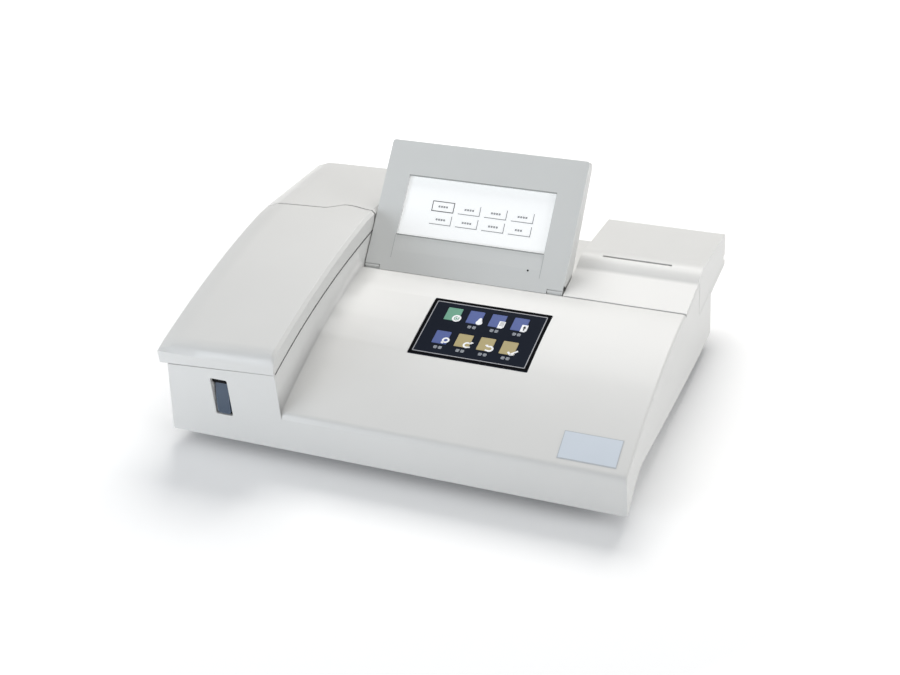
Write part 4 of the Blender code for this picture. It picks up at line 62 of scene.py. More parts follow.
# Depths of the reliefs, and scales of the tones per metre.
GRAIN_DEPTH, STREAK_DEPTH, CELL_DEPTH, TRACK_DEPTH = 0.12 * MM, 0.05 * MM, 0.2 * MM, 0.08 * MM
CLOUDS, STREAKS, PAPER_RINGS, PIXELS, TRACKS = 14.0, 260.0, 900.0, 1400.0, 90.0
COAT_ROUGHNESS = 0.12


# ---------------------------------------------------------------- materials

def shader_nodes(name):
    """A fresh material with its tree, its Principled shader and Object coordinates."""
    made = bpy.data.materials.new(name)
    made.use_nodes = True
    tree = made.node_tree
    place = tree.nodes.new("ShaderNodeTexCoord").outputs["Object"]
    return made, tree, tree.nodes["Principled BSDF"], place


def noise(tree, place, scale, detail=3.0, stretch=None):
    """Noise at a scale per metre, pulled along an axis where a stretch is given."""
    if stretch:
        turn = tree.nodes.new("ShaderNodeMapping")
        turn.inputs["Scale"].default_value = stretch
        tree.links.new(place, turn.inputs["Vector"])
        place = turn.outputs["Vector"]
    made = tree.nodes.new("ShaderNodeTexNoise")
    made.inputs["Scale"].default_value = scale
    made.inputs["Detail"].default_value = detail
    tree.links.new(place, made.inputs["Vector"])
    return made.outputs["Fac"]


def ranged(tree, value, low, high, start=0.3, end=0.7):
    """Value carried from start..end to low..high, held at both ends."""
    made = tree.nodes.new("ShaderNodeMapRange")
    for key, number in (("From Min", start), ("From Max", end), ("To Min", low), ("To Max", high)):
        made.inputs[key].default_value = number
    tree.links.new(value, made.inputs["Value"])
    return made.outputs["Result"]


def mixed(tree, share, one, two):
    """Colour between two colours, or two colour outputs, by a share."""
    made = tree.nodes.new("ShaderNodeMix")
    made.data_type = "RGBA"
    tree.links.new(share, made.inputs[0])
    for socket, colour in ((made.inputs[6], one), (made.inputs[7], two)):
        if isinstance(colour, tuple):
            socket.default_value = (*colour, 1.0)
        else:
            tree.links.new(colour, socket)
    return made.outputs[2]


def bumped(tree, shader, height, strength, distance):
    """Relief from a height output, strength 0..1 over a distance in metres."""
    made = tree.nodes.new("ShaderNodeBump")
    made.inputs["Strength"].default_value = strength
    made.inputs["Distance"].default_value = distance
    tree.links.new(height, made.inputs["Height"])
    tree.links.new(made.outputs["Normal"], shader.inputs["Normal"])


def tinted(colour, share):
    """Colour made lighter or darker by a share, held at white."""
    return tuple(min(1.0, c * share) for c in colour)


def painted_by(tree, shader, share, one, two):
    """Base colour between two colours by a share."""
    tree.links.new(mixed(tree, share, one, two), shader.inputs["Base Color"])


def glossed_by(tree, shader, value, low, high):
    """Roughness carried from a pattern's value to low..high."""
    tree.links.new(ranged(tree, value, low, min(1.0, high)), shader.inputs["Roughness"])


def moulded(name, colour, rough, grain, relief, mottle, coat=0.0, metal=0.0, gloss=0.5):
    """Moulded or painted surface: faint cloudy tone, fine grain in relief and in gloss."""
    made, tree, shader, place = shader_nodes(name)
    cloud = ranged(tree, noise(tree, place, CLOUDS), 0.0, 1.0)
    painted_by(tree, shader, cloud, tinted(colour, 1 - mottle), tinted(colour, 1 + mottle))
    fine = noise(tree, place, grain, 2.0)
    glossed_by(tree, shader, fine, rough * 0.9, rough * 1.12)
    bumped(tree, shader, fine, relief, GRAIN_DEPTH)
    shader.inputs["Specular IOR Level"].default_value = gloss
    shader.inputs["Metallic"].default_value = metal
    shader.inputs["Coat Weight"].default_value = coat
    shader.inputs["Coat Roughness"].default_value = COAT_ROUGHNESS
    return made


def brushed(name, colour, rough, stretch):
    """Brushed or turned metal: long streaks along one axis in tone, gloss and relief."""
    made, tree, shader, place = shader_nodes(name)
    streak = noise(tree, place, STREAKS, 4.0, stretch)
    share = ranged(tree, streak, 0.0, 1.0)
    painted_by(tree, shader, share, tinted(colour, 0.86), tinted(colour, 1.08))
    glossed_by(tree, shader, streak, rough * 0.8, rough * 1.25)
    bumped(tree, shader, streak, 0.15, STREAK_DEPTH)
    shader.inputs["Metallic"].default_value = 1.0
    return made


def speckled(name, colour, second, rough, scale, relief):
    """Granular surface, as rubber and paper have: two tones over cells and noise."""
    made, tree, shader, place = shader_nodes(name)
    cell = tree.nodes.new("ShaderNodeTexVoronoi")
    cell.inputs["Scale"].default_value = scale
    tree.links.new(place, cell.inputs["Vector"])
    cloud = noise(tree, place, scale * 0.3, 5.0)
    painted_by(tree, shader, ranged(tree, cloud, 0.0, 1.0), colour, second)
    glossed_by(tree, shader, cloud, rough * 0.9, rough * 1.1)
    bumped(tree, shader, cell.outputs["Distance"], relief, CELL_DEPTH)
    return made


def wound_paper():
    """Paper roll: the edges of its turns show as fine rings about the roll's axis."""
    made, tree, shader, place = shader_nodes("paper")
    low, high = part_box("paper_roll")
    middle = (low + high) / 2
    centre = tree.nodes.new("ShaderNodeMapping")
    centre.inputs["Location"].default_value = tuple(-middle)
    tree.links.new(place, centre.inputs["Vector"])
    rings = tree.nodes.new("ShaderNodeTexWave")
    rings.wave_type = "RINGS"
    rings.rings_direction = "X"
    rings.inputs["Scale"].default_value = PAPER_RINGS
    rings.inputs["Distortion"].default_value = 1.5
    tree.links.new(centre.outputs["Vector"], rings.inputs["Vector"])
    fibre = noise(tree, place, PAPER_RINGS * 2, 4.0)
    painted_by(tree, shader, rings.outputs["Fac"], (0.74, 0.74, 0.71), (0.86, 0.86, 0.83))
    glossed_by(tree, shader, fibre, 0.72, 0.9)
    bumped(tree, shader, fibre, 0.15, TRACK_DEPTH)
    return made


def brick_pattern(tree, place, scale, gap, one, two, between):
    """Bricks of two colours at a scale per metre, with a third colour in the gaps."""
    made = tree.nodes.new("ShaderNodeTexBrick")
    made.inputs["Scale"].default_value = scale
    made.inputs["Mortar Size"].default_value = gap
    for key, colour in (("Color1", one), ("Color2", two), ("Mortar", between)):
        made.inputs[key].default_value = (*colour, 1)
    tree.links.new(place, made.inputs["Vector"])
    return made


def circuit_board():
    """Solder mask with paler tracks: bands of a coarse brick pattern under a gloss."""
    made, tree, shader, place = shader_nodes("circuit_green")
    tracks = brick_pattern(tree, place, TRACKS, 0.06, (0.012, 0.105, 0.045), (0.016, 0.13, 0.055),
                           (0.05, 0.24, 0.09))
    tree.links.new(tracks.outputs["Color"], shader.inputs["Base Color"])
    glossed_by(tree, shader, noise(tree, place, 500.0), 0.25, 0.4)
    bumped(tree, shader, tracks.outputs["Fac"], 0.2, TRACK_DEPTH)
    return made


def lit_display(name, colour):
    """Panel of a backlit display: even white with a faint pixel grid under clear gloss."""
    made, tree, shader, place = shader_nodes(name)
    grid = brick_pattern(tree, place, PIXELS, 0.03, colour, tinted(colour, 0.985), tinted(colour, 0.95))
    grid.offset = 0.0
    tree.links.new(grid.outputs["Color"], shader.inputs["Base Color"])
    tree.links.new(grid.outputs["Color"], shader.inputs["Emission Color"])
    shader.inputs["Emission Strength"].default_value = 0.35
    glossed_by(tree, shader, noise(tree, place, 30.0), 0.16, 0.22)
    return made


def guide_shade(colour, dark, edge):
    """Guide of the trigger: light on its left inner wall, in shade from an edge in X onwards."""
    made, tree, shader, place = shader_nodes("guide_shade")
    apart = tree.nodes.new("ShaderNodeSeparateXYZ")
    tree.links.new(place, apart.inputs["Vector"])
    share = ranged(tree, apart.outputs["X"], 0.0, 1.0, edge, edge + 0.3 * MM)
    painted_by(tree, shader, share, colour, dark)
    fine = noise(tree, place, 1000.0)
    glossed_by(tree, shader, fine, 0.4, 0.5)
    bumped(tree, shader, fine, 0.08, 0.1 * MM)
    return made


WHITE = (0.665, 0.663, 0.648)
finishes = {
    "case_white": moulded("case_white", WHITE, 0.42, 1100.0, 0.07, 0.012, 0.08),
    "bezel_grey": moulded("bezel_grey", (0.690, 0.700, 0.688), 0.45, 1300.0, 0.10, 0.012),
    "black_plastic": moulded("black_plastic", (0.028, 0.028, 0.032), 0.5, 900.0, 0.3, 0.10),
    "navy_film": moulded("navy_film", (0.0085, 0.0120, 0.0215), 0.42, 1500.0, 0.12, 0.10, gloss=0.015),
    "green_film": moulded("green_film", (0.115, 0.330, 0.225), 0.42, 1500.0, 0.12, 0.05, gloss=0.2),
    "blue_film": moulded("blue_film", (0.048, 0.085, 0.290), 0.42, 1500.0, 0.12, 0.05, gloss=0.2),
    "tan_film": moulded("tan_film", (0.385, 0.315, 0.140), 0.42, 1500.0, 0.12, 0.05, gloss=0.2),
    "trigger_blue": moulded("trigger_blue", (0.040, 0.066, 0.108), 0.34, 1300.0, 0.15, 0.06, 0.2),
    "glass": lit_display("glass", (0.86, 0.87, 0.87)),
    "rubber": speckled("rubber", (0.018, 0.018, 0.019), (0.034, 0.034, 0.034), 0.8, 1400.0, 0.4),
    "steel": brushed("steel", (0.56, 0.57, 0.59), 0.32, (0.06, 1.0, 1.0)),
    "black_metal": moulded("black_metal", (0.035, 0.035, 0.040), 0.46, 1600.0, 0.35, 0.12, metal=0.3),
    "aluminium": brushed("aluminium", (0.64, 0.65, 0.67), 0.36, (1.0, 0.06, 1.0)),
    "circuit_green": circuit_board(),
    "paper": wound_paper(),
    "gear_white": moulded("gear_white", (0.76, 0.75, 0.69), 0.4, 1000.0, 0.08, 0.02),
    "brass": brushed("brass", (0.66, 0.49, 0.22), 0.3, (0.06, 1.0, 1.0)),
}
silver_ink = moulded("silver_ink", (0.33, 0.335, 0.36), 0.4, 1800.0, 0.05, 0.03, gloss=0.3)
white_ink = moulded("white_ink", (0.82, 0.83, 0.85), 0.45, 1800.0, 0.04, 0.02)
rim_black = moulded("rim_black", (0.0015, 0.0015, 0.0022), 0.5, 1500.0, 0.08, 0.08, gloss=0.015)
label_ink = moulded("label_ink", (0.36, 0.39, 0.44), 0.5, 1800.0, 0.04, 0.05)
screen_line = moulded("screen_line", (0.36, 0.37, 0.38), 0.3, 1800.0, 0.02, 0.02)
screen_dark = moulded("screen_dark", (0.14, 0.145, 0.15), 0.3, 1800.0, 0.02, 0.03)
plate_film = moulded("plate_film", (0.60, 0.655, 0.72), 0.36, 1500.0, 0.05, 0.02)
plate_edge = moulded("plate_edge", (0.47, 0.50, 0.53), 0.4, 1500.0, 0.05, 0.03)
# Painted highlight: a lighter blue for the trigger plate's rim.
edge_highlight_blue = moulded("edge_highlight_blue", (0.085, 0.115, 0.165), 0.32, 1300.0, 0.10, 0.04)
# Painted shade: the near black grey of the strip under the lid's seam.
seam_shade_grey = moulded("seam_shade_grey", (0.055, 0.055, 0.055), 0.7, 900.0, 0.2, 0.1)
# Painted shadow: the grey of the lines along the window's top and bottom edges.
edge_shade_grey = moulded("edge_shade_grey", (0.33, 0.34, 0.335), 0.5, 1500.0, 0.05, 0.02)
# Painted shade: the grey of the strips along the step edges below the window's sides.
step_shade_grey = moulded("step_shade_grey", (0.50, 0.51, 0.505), 0.45, 1500.0, 0.05, 0.02)
# Near black: painted shade in the trigger's recess and in the screws' cross recesses, and the status lamp's own
# dark colour.
shade_and_lamp_black = moulded("shade_and_lamp_black", (0.006, 0.006, 0.007), 0.7, 900.0, 0.2, 0.1, gloss=0.1)
screw_steel = brushed("screw_steel", (0.50, 0.51, 0.53), 0.3, (1.0, 1.0, 0.08))


# ---------------------------------------------------------------- mesh tools

def grid_faces(rows, columns, wrap_rows=False, wrap_columns=True):
    """Quads over rows x columns of points; a wrapped direction joins its last line to its first."""
    r, c = np.meshgrid(np.arange(rows if wrap_rows else rows - 1),
                       np.arange(columns if wrap_columns else columns - 1), indexing="ij")
    r2, c2 = (r + 1) % rows, (c + 1) % columns
    return np.stack([r * columns + c, r * columns + c2, r2 * columns + c2, r2 * columns + c],
                    -1).reshape(-1, 4)


def capped(points):
    """Tube through rows of points, each row a closed ring, with a flat face over each end."""
    rows, columns, _ = points.shape
    faces = grid_faces(rows, columns).tolist()
    ends = [list(range(columns)), list(range((rows - 1) * columns, rows * columns))]
    return points.reshape(-1, 3), faces + ends


def ringed(points):
    """Closed ring of closed profiles, like a frame: both directions wrap."""
    rows, columns, _ = points.shape
    return points.reshape(-1, 3), grid_faces(rows, columns, True).tolist()


def sheet_between(face, back):
    """Closed solid between two grids of the same size: both grids, and a wall round their rim."""
    rows, columns, _ = face.shape
    count = rows * columns
    faces = grid_faces(rows, columns, False, False)
    rim = np.concatenate([np.arange(columns), np.arange(1, rows) * columns + columns - 1,
                          count - 2 - np.arange(columns - 1), (rows - 2 - np.arange(rows - 2)) * columns])
    following = np.roll(rim, -1)
    wall = np.stack([rim, following, following + count, rim + count], -1)
    return (np.concatenate([face.reshape(-1, 3), back.reshape(-1, 3)]),
            np.concatenate([faces, faces[:, ::-1] + count, wall]).tolist())


def joined(parts):
    """One list of points and one of faces from several pieces of surface."""
    points, faces, start = [], [], 0
    for part_points, part_faces in parts:
        points.append(part_points)
        faces += [[i + start for i in face] for face in part_faces]
        start += len(part_points)
    return np.concatenate(points), faces


def placed(points, place):
    """Points carried from a face's own frame into the world."""
    return points @ place[:3, :3].T + place[:3, 3]


def piece(name, part, material, body, place=None, smooth=30, bevel=0.0):
    """Object from points and faces, put in its place in the mesh itself, riding on a CAD body."""
    points, faces = part
    if place is not None:
        points = placed(points, place)
    mesh = bpy.data.meshes.new(name)
    mesh.from_pydata(points.tolist(), [], faces)
    bm = bmesh.new()
    bm.from_mesh(mesh)
    bmesh.ops.remove_doubles(bm, verts=bm.verts, dist=0.0001 * MM)
    bmesh.ops.recalc_face_normals(bm, faces=bm.faces)
    bm.to_mesh(mesh)
    bm.free()
    mesh.shade_smooth()
    mesh.set_sharp_from_angle(angle=math.radians(smooth))
    mesh.materials.append(material)
    made = bpy.data.objects.new(name, mesh)
    bpy.context.scene.collection.objects.link(made)
    if bevel:
        soften(made, bevel)
    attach(made, body)


def soften(made, width):
    """Small rounding of the sharp edges, with shading weighted to the flat faces."""
    edge = made.modifiers.new("edge", "BEVEL")
    edge.width = width
    edge.segments = 2
    edge.limit_method = "ANGLE"
    edge.angle_limit = ROUNDED_FROM
    edge.harden_normals = False
    edge.use_clamp_overlap = True
    weight = made.modifiers.new("shade", "WEIGHTED_NORMAL")
    weight.keep_sharp = True
    return edge


SAME_POINT = 0.001 * MM                 # points of a CAD mesh closer than this are merged
FLAT_WITHIN = math.radians(0.25)        # neighbouring triangles closer than this make one face
ROUNDED_FROM = math.radians(32)         # outward edges that turn more than this are rounded
SHARP_FROM = math.radians(38)           # edges that turn more than this keep a hard shade
MOST_CORNERS = 40                       # faces with more corners are cut into triangles again
keypad_low, keypad_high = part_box("keypad_plate")


def refined(node, width, material=None):
    """The CAD node's own form, its triangles merged and its outward edges rounded off the keypad."""
    bm = bmesh.new()
    bm.from_mesh(frame["nodes"][node].data)
    bmesh.ops.remove_doubles(bm, verts=bm.verts, dist=SAME_POINT)
    bmesh.ops.dissolve_limit(bm, angle_limit=FLAT_WITHIN, verts=bm.verts, edges=bm.edges)
    wide = [f for f in bm.faces if len(f.verts) > MOST_CORNERS]
    bmesh.ops.triangulate(bm, faces=wide, quad_method="BEAUTY", ngon_method="BEAUTY")
    weight = bm.edges.layers.float.new("bevel_weight_edge")
    for edge in bm.edges:
        middle = (edge.verts[0].co + edge.verts[1].co) / 2
        hidden = all(low <= c <= high for low, c, high in zip(keypad_low, middle, keypad_high))
        if len(edge.link_faces) == 2 and not hidden and edge.calc_face_angle_signed() > ROUNDED_FROM:
            edge[weight] = 1.0
    mesh = bpy.data.meshes.new(node + "_form")
    bm.to_mesh(mesh)
    bm.free()
    mesh.shade_smooth()
    mesh.set_sharp_from_angle(angle=SHARP_FROM)
    mesh.materials.append(material or finishes[slot_of_node[node]])
    made = bpy.data.objects.new(node + "_form", mesh)
    bpy.context.scene.collection.objects.link(made)
    soften(made, width).limit_method = "WEIGHT"
    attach(made, body_of_node[node])
    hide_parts(node)


# ---------------------------------------------------------------- shapes

def round_outline(half_x, half_y, radius, steps=6):
    """Rounded rectangle: four quarter circles of one radius round the inner corners."""
    angle = np.linspace(0, 2 * np.pi, 4 * steps, endpoint=False) + np.pi / (4 * steps)
    x = np.sign(np.cos(angle)) * (half_x - radius) + radius * np.cos(angle)
    y = np.sign(np.sin(angle)) * (half_y - radius) + radius * np.sin(angle)
    return np.stack([x, y], -1)


def at_height(outline, height):
    """Outline with one height for all its points."""
    return np.concatenate([outline, np.full((len(outline), 1), height)], 1)


def blob(outline, low, high):
    """Flat patch inside a closed outline, between two heights."""
    return capped(np.stack([at_height(outline, low), at_height(outline, high)]))


def pad(half_x, half_y, radius, low, high, centre):
    """Rounded slab about a centre."""
    return blob(round_outline(half_x, half_y, radius) + np.array(centre), low, high)


def frame_line(half_x, half_y, radius, width, low, high, centre=(0.0, 0.0)):
    """Flat line round a rectangle: the outline and its inward copy, at two heights."""
    outer = round_outline(half_x, half_y, radius) + np.array(centre)
    corner = max(radius - width, radius * 0.4)
    inner = round_outline(half_x - width, half_y - width, corner) + np.array(centre)
    return ringed(np.stack([at_height(outer, low), at_height(outer, high), at_height(inner, high),
                            at_height(inner, low)]))


def stroke(path, width, low, high):
    """Flat ribbon along a path: half the width to each side of the path's own normal."""
    path = np.asarray(path, float)
    along = np.gradient(path, axis=0)
    along /= np.linalg.norm(along, axis=1, keepdims=True) + 1e-12
    side = np.stack([-along[:, 1], along[:, 0]], -1) * np.asarray(width, float).reshape(-1, 1) / 2
    left, right = path + side, path - side
    profile = np.stack([at_height(left, low), at_height(left, high), at_height(right, high),
                        at_height(right, low)], 1)
    return capped(profile)


def turned(profile, sides):
    """Solid of revolution about Z: (radius, height) pairs carried round a circle."""
    profile = np.asarray(profile, float)
    angle = np.linspace(0, 2 * np.pi, sides, endpoint=False)
    x = profile[:, :1] * np.cos(angle)
    y = profile[:, :1] * np.sin(angle)
    z = np.repeat(profile[:, 1:], sides, 1)
    return capped(np.stack([x, y, z], -1))


def arc_path(centre, radius, start, end, steps=16):
    """Points of a circle from one angle to another, in degrees."""
    angle = np.radians(np.linspace(start, end, steps))
    return np.stack([centre[0] + radius * np.cos(angle), centre[1] + radius * np.sin(angle)], -1)


def plane(origin, across, up):
    """Frame of a flat face: columns across, up and out of it, and its origin."""
    across, up = np.array(across, float), np.array(up, float)
    made = np.eye(4)
    made[:3, 0], made[:3, 1], made[:3, 2], made[:3, 3] = across, up, np.cross(across, up), origin
    return made


# ---------------------------------------------------------------- refined CAD forms

# Width of the rounding, in mm.
ROUNDING = {"main_case": 0.7, "left_lid": 0.8, "printer_cover": 0.3, "screen_bezel": 0.5,
            "screen_back": 1.2, "aspirate_trigger": 0.4, "bottom_tray": 0.4, "rear_panel": 0.2,
            "power_inlet": 0.3, "switch_frame": 0.3, "power_rocker": 0.4, "serial_port": 0.2,
            "fan_frame": 0.3}
for node, width in ROUNDING.items():
    refined(node, width * MM)
guide_low, guide_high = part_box("trigger_guide")
LIT_WALL, LIT_SHARE = 1.4 * MM, 1.4     # the guide's lit side: its width, and its tone against the case's
refined("trigger_guide", 0.2 * MM,
        guide_shade(tinted(WHITE, LIT_SHARE), (0.012, 0.012, 0.014), guide_low.x + LIT_WALL))

for node, shown in frame["nodes"].items():
    shown.data.materials.clear()
    painted = node.startswith("screen_hinge")
    shown.data.materials.append(finishes["bezel_grey" if painted else slot_of_node[node]])


# ---------------------------------------------------------------- keypad print

RIGHT = (1, 0, 0)
KEY = {name: np.array(joint_at[name]["pos_m"]) for name in body_of_node if name.startswith("key_")
       and name in joint_at}
press = np.array(joint_at["key_lamp"]["axis"])
keypad_up = np.cross(-press, RIGHT)
KEY_RIGHT, KEY_FOOT = 6.8 * MM, -7.8 * MM       # edges of a key from its middle
GUTTER = 0.15 * MM                              # gap beside a key where a sign isn't printed

inner_four = (KEY["key_left"] + KEY["key_right"] + KEY["key_wash"] + KEY["key_print"]) / 4
keypad_middle = inner_four + np.array([0.7 * MM, 0, 0]) - keypad_up * 3.5 * MM
keypad = plane(keypad_middle, RIGHT, keypad_up)
piece("keypad_rim", frame_line(54.6 * MM, 35.1 * MM, 1.2 * MM, 2.3 * MM, 0.0, 0.05 * MM), rim_black,
      "base", keypad)
piece("keypad_line", frame_line(51.9 * MM, 32.3 * MM, 0.9 * MM, 0.75 * MM, 0.0, 0.09 * MM), silver_ink,
      "base", keypad)

# The signs are drawn in steps of SIGN_SCALE from their own middle, one INK high.
INK = 0.08 * MM
SIGN_LIFT = 0.02 * MM
SIGN_SCALE = np.array([1.16 * MM, 1.16 * MM, INK])


def lamp_sign():
    """Lamp: a ring for the bulb and a short stem to its lower left."""
    return [stroke(arc_path((0.6, 0.9), 2.2, 0, 360, 25), 1.5, 0, 1),
            stroke([(-0.5, -0.7), (-1.1, -1.6), (-1.7, -2.5)], 2.1, 0, 1)]


def hook_sign(side):
    """Turn-back arrow: a half ring open to one side with a barb on its upper arm."""
    ring = arc_path((0.0, -0.2), 2.4, 60, 300, 22) * (side, 1)
    barb = np.array([(2.0, 3.3), (3.1, 3.0), (4.1, 2.6)]) * (side, 1)
    arm = np.array([(1.1, 1.9), (2.1, 2.1), (3.2, 2.4)]) * (side, 1)
    foot = np.array([(1.1, -2.3), (2.0, -2.2), (3.0, -1.9)]) * (side, 1)
    return [stroke(ring, 1.5, 0, 1), stroke(arm, 1.5, 0, 1), stroke(foot, 1.3, 0, 1),
            stroke(barb, 1.1, 0, 1)]


def tick_sign():
    """Tick: a short stroke down and a long one up."""
    return [stroke([(-3.2, 0.2), (-2.0, -1.1), (-0.9, -2.4)], 1.7, 0, 1),
            stroke([(-1.4, -2.6), (1.0, -0.4), (3.9, 2.4)], 1.5, 0, 1),
            stroke([(-1.2, -2.5), (0.6, -2.4), (2.6, -1.6)], [1.6, 1.2, 0.5], 0, 1)]


def power_sign():
    """Power mark: a ring, and a short bar within it."""
    return [stroke(arc_path((0.0, 0.0), 2.9, 0, 360, 33), 1.5, 0, 1),
            stroke([(0.2, 0.4), (0.5, 1.1), (0.9, 1.8)], 0.9, 0, 1),
            stroke(arc_path((0.0, 0.0), 1.2, 110, 380, 16), 0.5, 0, 1)]


def drop_sign():
    """Drop: a circle drawn up to a point by the sine of its angle."""
    angle = np.linspace(0, 2 * np.pi, 40, endpoint=False)
    reach = 2.6 + 2.4 * np.clip(np.sin(angle), 0, 1) ** 6
    outline = np.stack([0.3 + np.cos(angle) * reach * (1 - 0.25 * np.clip(np.sin(angle), 0, 1)),
                        -0.6 + np.sin(angle) * reach], -1)
    return [blob(outline, 0, 1)]


def page_sign():
    """Sheet of paper with a cut lower corner."""
    return [blob(np.array([(-2.3, -3.6), (1.3, -3.6), (2.6, -2.0), (2.6, 4.0), (-2.3, 4.0)]), 0, 1)]


def ruled_lines():
    """Printed lines of the sheet."""
    return [stroke([(-1.4, y), (0.1, y), (1.7, y)], 0.36, 1.1, 1.5) for y in (2.9, 1.7, 0.5, -0.7)]


def door_mark():
    """Dark arrow of the way out: a bar with a wider head."""
    return [stroke([(0.2, -2.0), (0.2, 0.0), (0.2, 2.6)], 1.0, 1.1, 1.5),
            stroke([(0.2, 0.4), (0.2, 1.2), (0.2, 2.0)], [2.6, 2.2, 0.9], 1.1, 1.5)]


SIGNS = {"key_lamp": lamp_sign(), "key_left": hook_sign(1), "key_right": hook_sign(-1),
         "key_confirm": tick_sign(), "key_power": power_sign(), "key_wash": drop_sign(),
         "key_print": page_sign(), "key_exit": page_sign()}
MARKS = {"key_print": ruled_lines(), "key_exit": door_mark()}
SIGN_PLACE = {"key_lamp": (4.3, -3.9), "key_left": (4.6, -4.4), "key_right": (4.6, -4.4),
              "key_confirm": (4.6, -4.8), "key_power": (4.6, -4.6), "key_wash": (5.0, -4.8),
              "key_print": (4.8, -4.4), "key_exit": (5.0, -4.4)}


def cut_by(points, faces, planes):
    """Part of a closed surface on the inner side of planes, closed again along each cut."""
    mesh = bpy.data.meshes.new("cut")
    mesh.from_pydata(points.tolist(), [], faces)
    bm = bmesh.new()
    bm.from_mesh(mesh)
    bmesh.ops.recalc_face_normals(bm, faces=bm.faces)
    for spot, normal in planes:
        geometry = bm.verts[:] + bm.edges[:] + bm.faces[:]
        if not geometry:
            break
        done = bmesh.ops.bisect_plane(bm, geom=geometry, plane_co=spot, plane_no=normal, clear_outer=True)
        rim = [e for e in done["geom_cut"] if isinstance(e, bmesh.types.BMEdge)]
        if rim:
            bmesh.ops.holes_fill(bm, edges=rim)
    bm.to_mesh(mesh)
    bm.free()
    kept = np.empty(len(mesh.vertices) * 3, np.float32)
    mesh.vertices.foreach_get("co", kept)
    kept_faces = [list(face.vertices) for face in mesh.polygons]
    bpy.data.meshes.remove(mesh)
    return kept.astype(float).reshape(-1, 3), kept_faces


# A sign crosses its key's right and lower edges, so it is cut into the part on the key, which
# moves with it, and the parts to the right of it and below it, which stay on the plate.
ON_KEY = [((KEY_RIGHT, 0, 0), (1, 0, 0)), ((0, KEY_FOOT, 0), (0, -1, 0))]
BESIDE_KEY = [((KEY_RIGHT + GUTTER, 0, 0), (-1, 0, 0))]
BELOW_KEY = [((KEY_RIGHT, 0, 0), (1, 0, 0)), ((0, KEY_FOOT - GUTTER, 0), (0, 1, 0))]
CAPTION_X, CAPTION_Y = (-1.2, 3.2), -12.6
CAPTION_BARS = ((1.2, 1.5), (0.0, 1.75), (-1.2, 1.35))      # height from the caption's middle, half width


def sign_parts(key, shapes, cuts):
    """What the cuts leave of a key's shapes, at the sign's place, in the key's own frame."""
    x, y = SIGN_PLACE[key]
    shift = np.array([x * MM, y * MM, SIGN_LIFT])
    parts = [cut_by(points * SIGN_SCALE + shift, faces, cut) for points, faces in shapes for cut in cuts]
    return [part for part in parts if len(part[0])]


plate_prints, plate_labels = [], []
for key, middle in KEY.items():
    spot = plane(middle, RIGHT, keypad_up)
    piece(key + "_sign", joined(sign_parts(key, SIGNS[key], [ON_KEY])), white_ink, key, spot)
    plate_prints += [(placed(points, spot), faces)
                     for points, faces in sign_parts(key, SIGNS[key], [BESIDE_KEY, BELOW_KEY])]
    if key == "key_power":
        continue
    for x in CAPTION_X:
        for rise, half in CAPTION_BARS:
            points, faces = pad(half * MM, 0.34 * MM, 0.12 * MM, 0.0, 0.05 * MM,
                                (x * MM, (rise + CAPTION_Y) * MM))
            plate_labels.append((placed(points, spot), faces))
for key, shapes in MARKS.items():
    piece(key + "_marks", joined(sign_parts(key, shapes, [ON_KEY])), rim_black, key,
          plane(KEY[key], RIGHT, keypad_up))
piece("keypad_print", joined(plate_prints), white_ink, "base")
piece("keypad_labels", joined(plate_labels), label_ink, "base")


# ---------------------------------------------------------------- aspirate trigger

TRIGGER_X = (guide_low.x + guide_high.x) / 2
TRIGGER_TOP, TRIGGER_FOOT = 70.0 * MM, 39.9 * MM
TRIGGER_HALF, TRIGGER_CORNER, TRIGGER_BACK = 6.3 * MM, 1.5 * MM, 4.3 * MM
# Painted shade: a dark sheet across the recess above the trigger plate, its half width and its profile. It stands
# for the shade under the recess's top.
RECESS_SHADE_HALF = 8.1 * MM
RECESS_SHADE_PROFILE = np.array([(2.95, 70.6), (2.95, 76.3), (3.4, 76.3), (3.4, 70.6)]) * MM     # depth, height


def trigger_depth(share):
    """Depth of the plate's face behind the case front: 4.0 mm at the top, easing to 0.25 at the foot."""
    return (4.0 - 3.75 * np.sin(share * np.pi / 2) ** 1.2) * MM


def trigger_skin(inset, lift, rows=18, columns=10):
    """Curved plate with rounded corners: its edge draws in by a quarter circle near top and foot."""
    share = np.linspace(0, 1, rows)
    high_z, low_z = TRIGGER_TOP - inset, TRIGGER_FOOT + inset
    z = high_z + (low_z - high_z) * share
    near = np.clip(TRIGGER_CORNER - np.minimum(high_z - z, z - low_z), 0, TRIGGER_CORNER)
    draw = TRIGGER_CORNER - np.sqrt(np.clip(TRIGGER_CORNER ** 2 - near ** 2, 0, None))
    across = np.linspace(-1, 1, columns)
    x = TRIGGER_X + across[None, :] * (TRIGGER_HALF - inset - draw)[:, None]
    depth = trigger_depth((TRIGGER_TOP - z) / (TRIGGER_TOP - TRIGGER_FOOT))
    depths, heights = (np.repeat(values[:, None], columns, 1) for values in (depth, z))
    face = np.stack([x, FRONT + depths - lift, heights], -1)
    back = np.stack([x, np.full_like(x, FRONT + TRIGGER_BACK), heights], -1)
    return face, back


# The plate's lighter blue rim round its darker face is painted highlight along its rounded edges.
plate_front, plate_back = trigger_skin(0.0, 0.0)
piece("trigger_plate", sheet_between(plate_front, plate_back), edge_highlight_blue, "trigger", smooth=35,
      bevel=0.25 * MM)
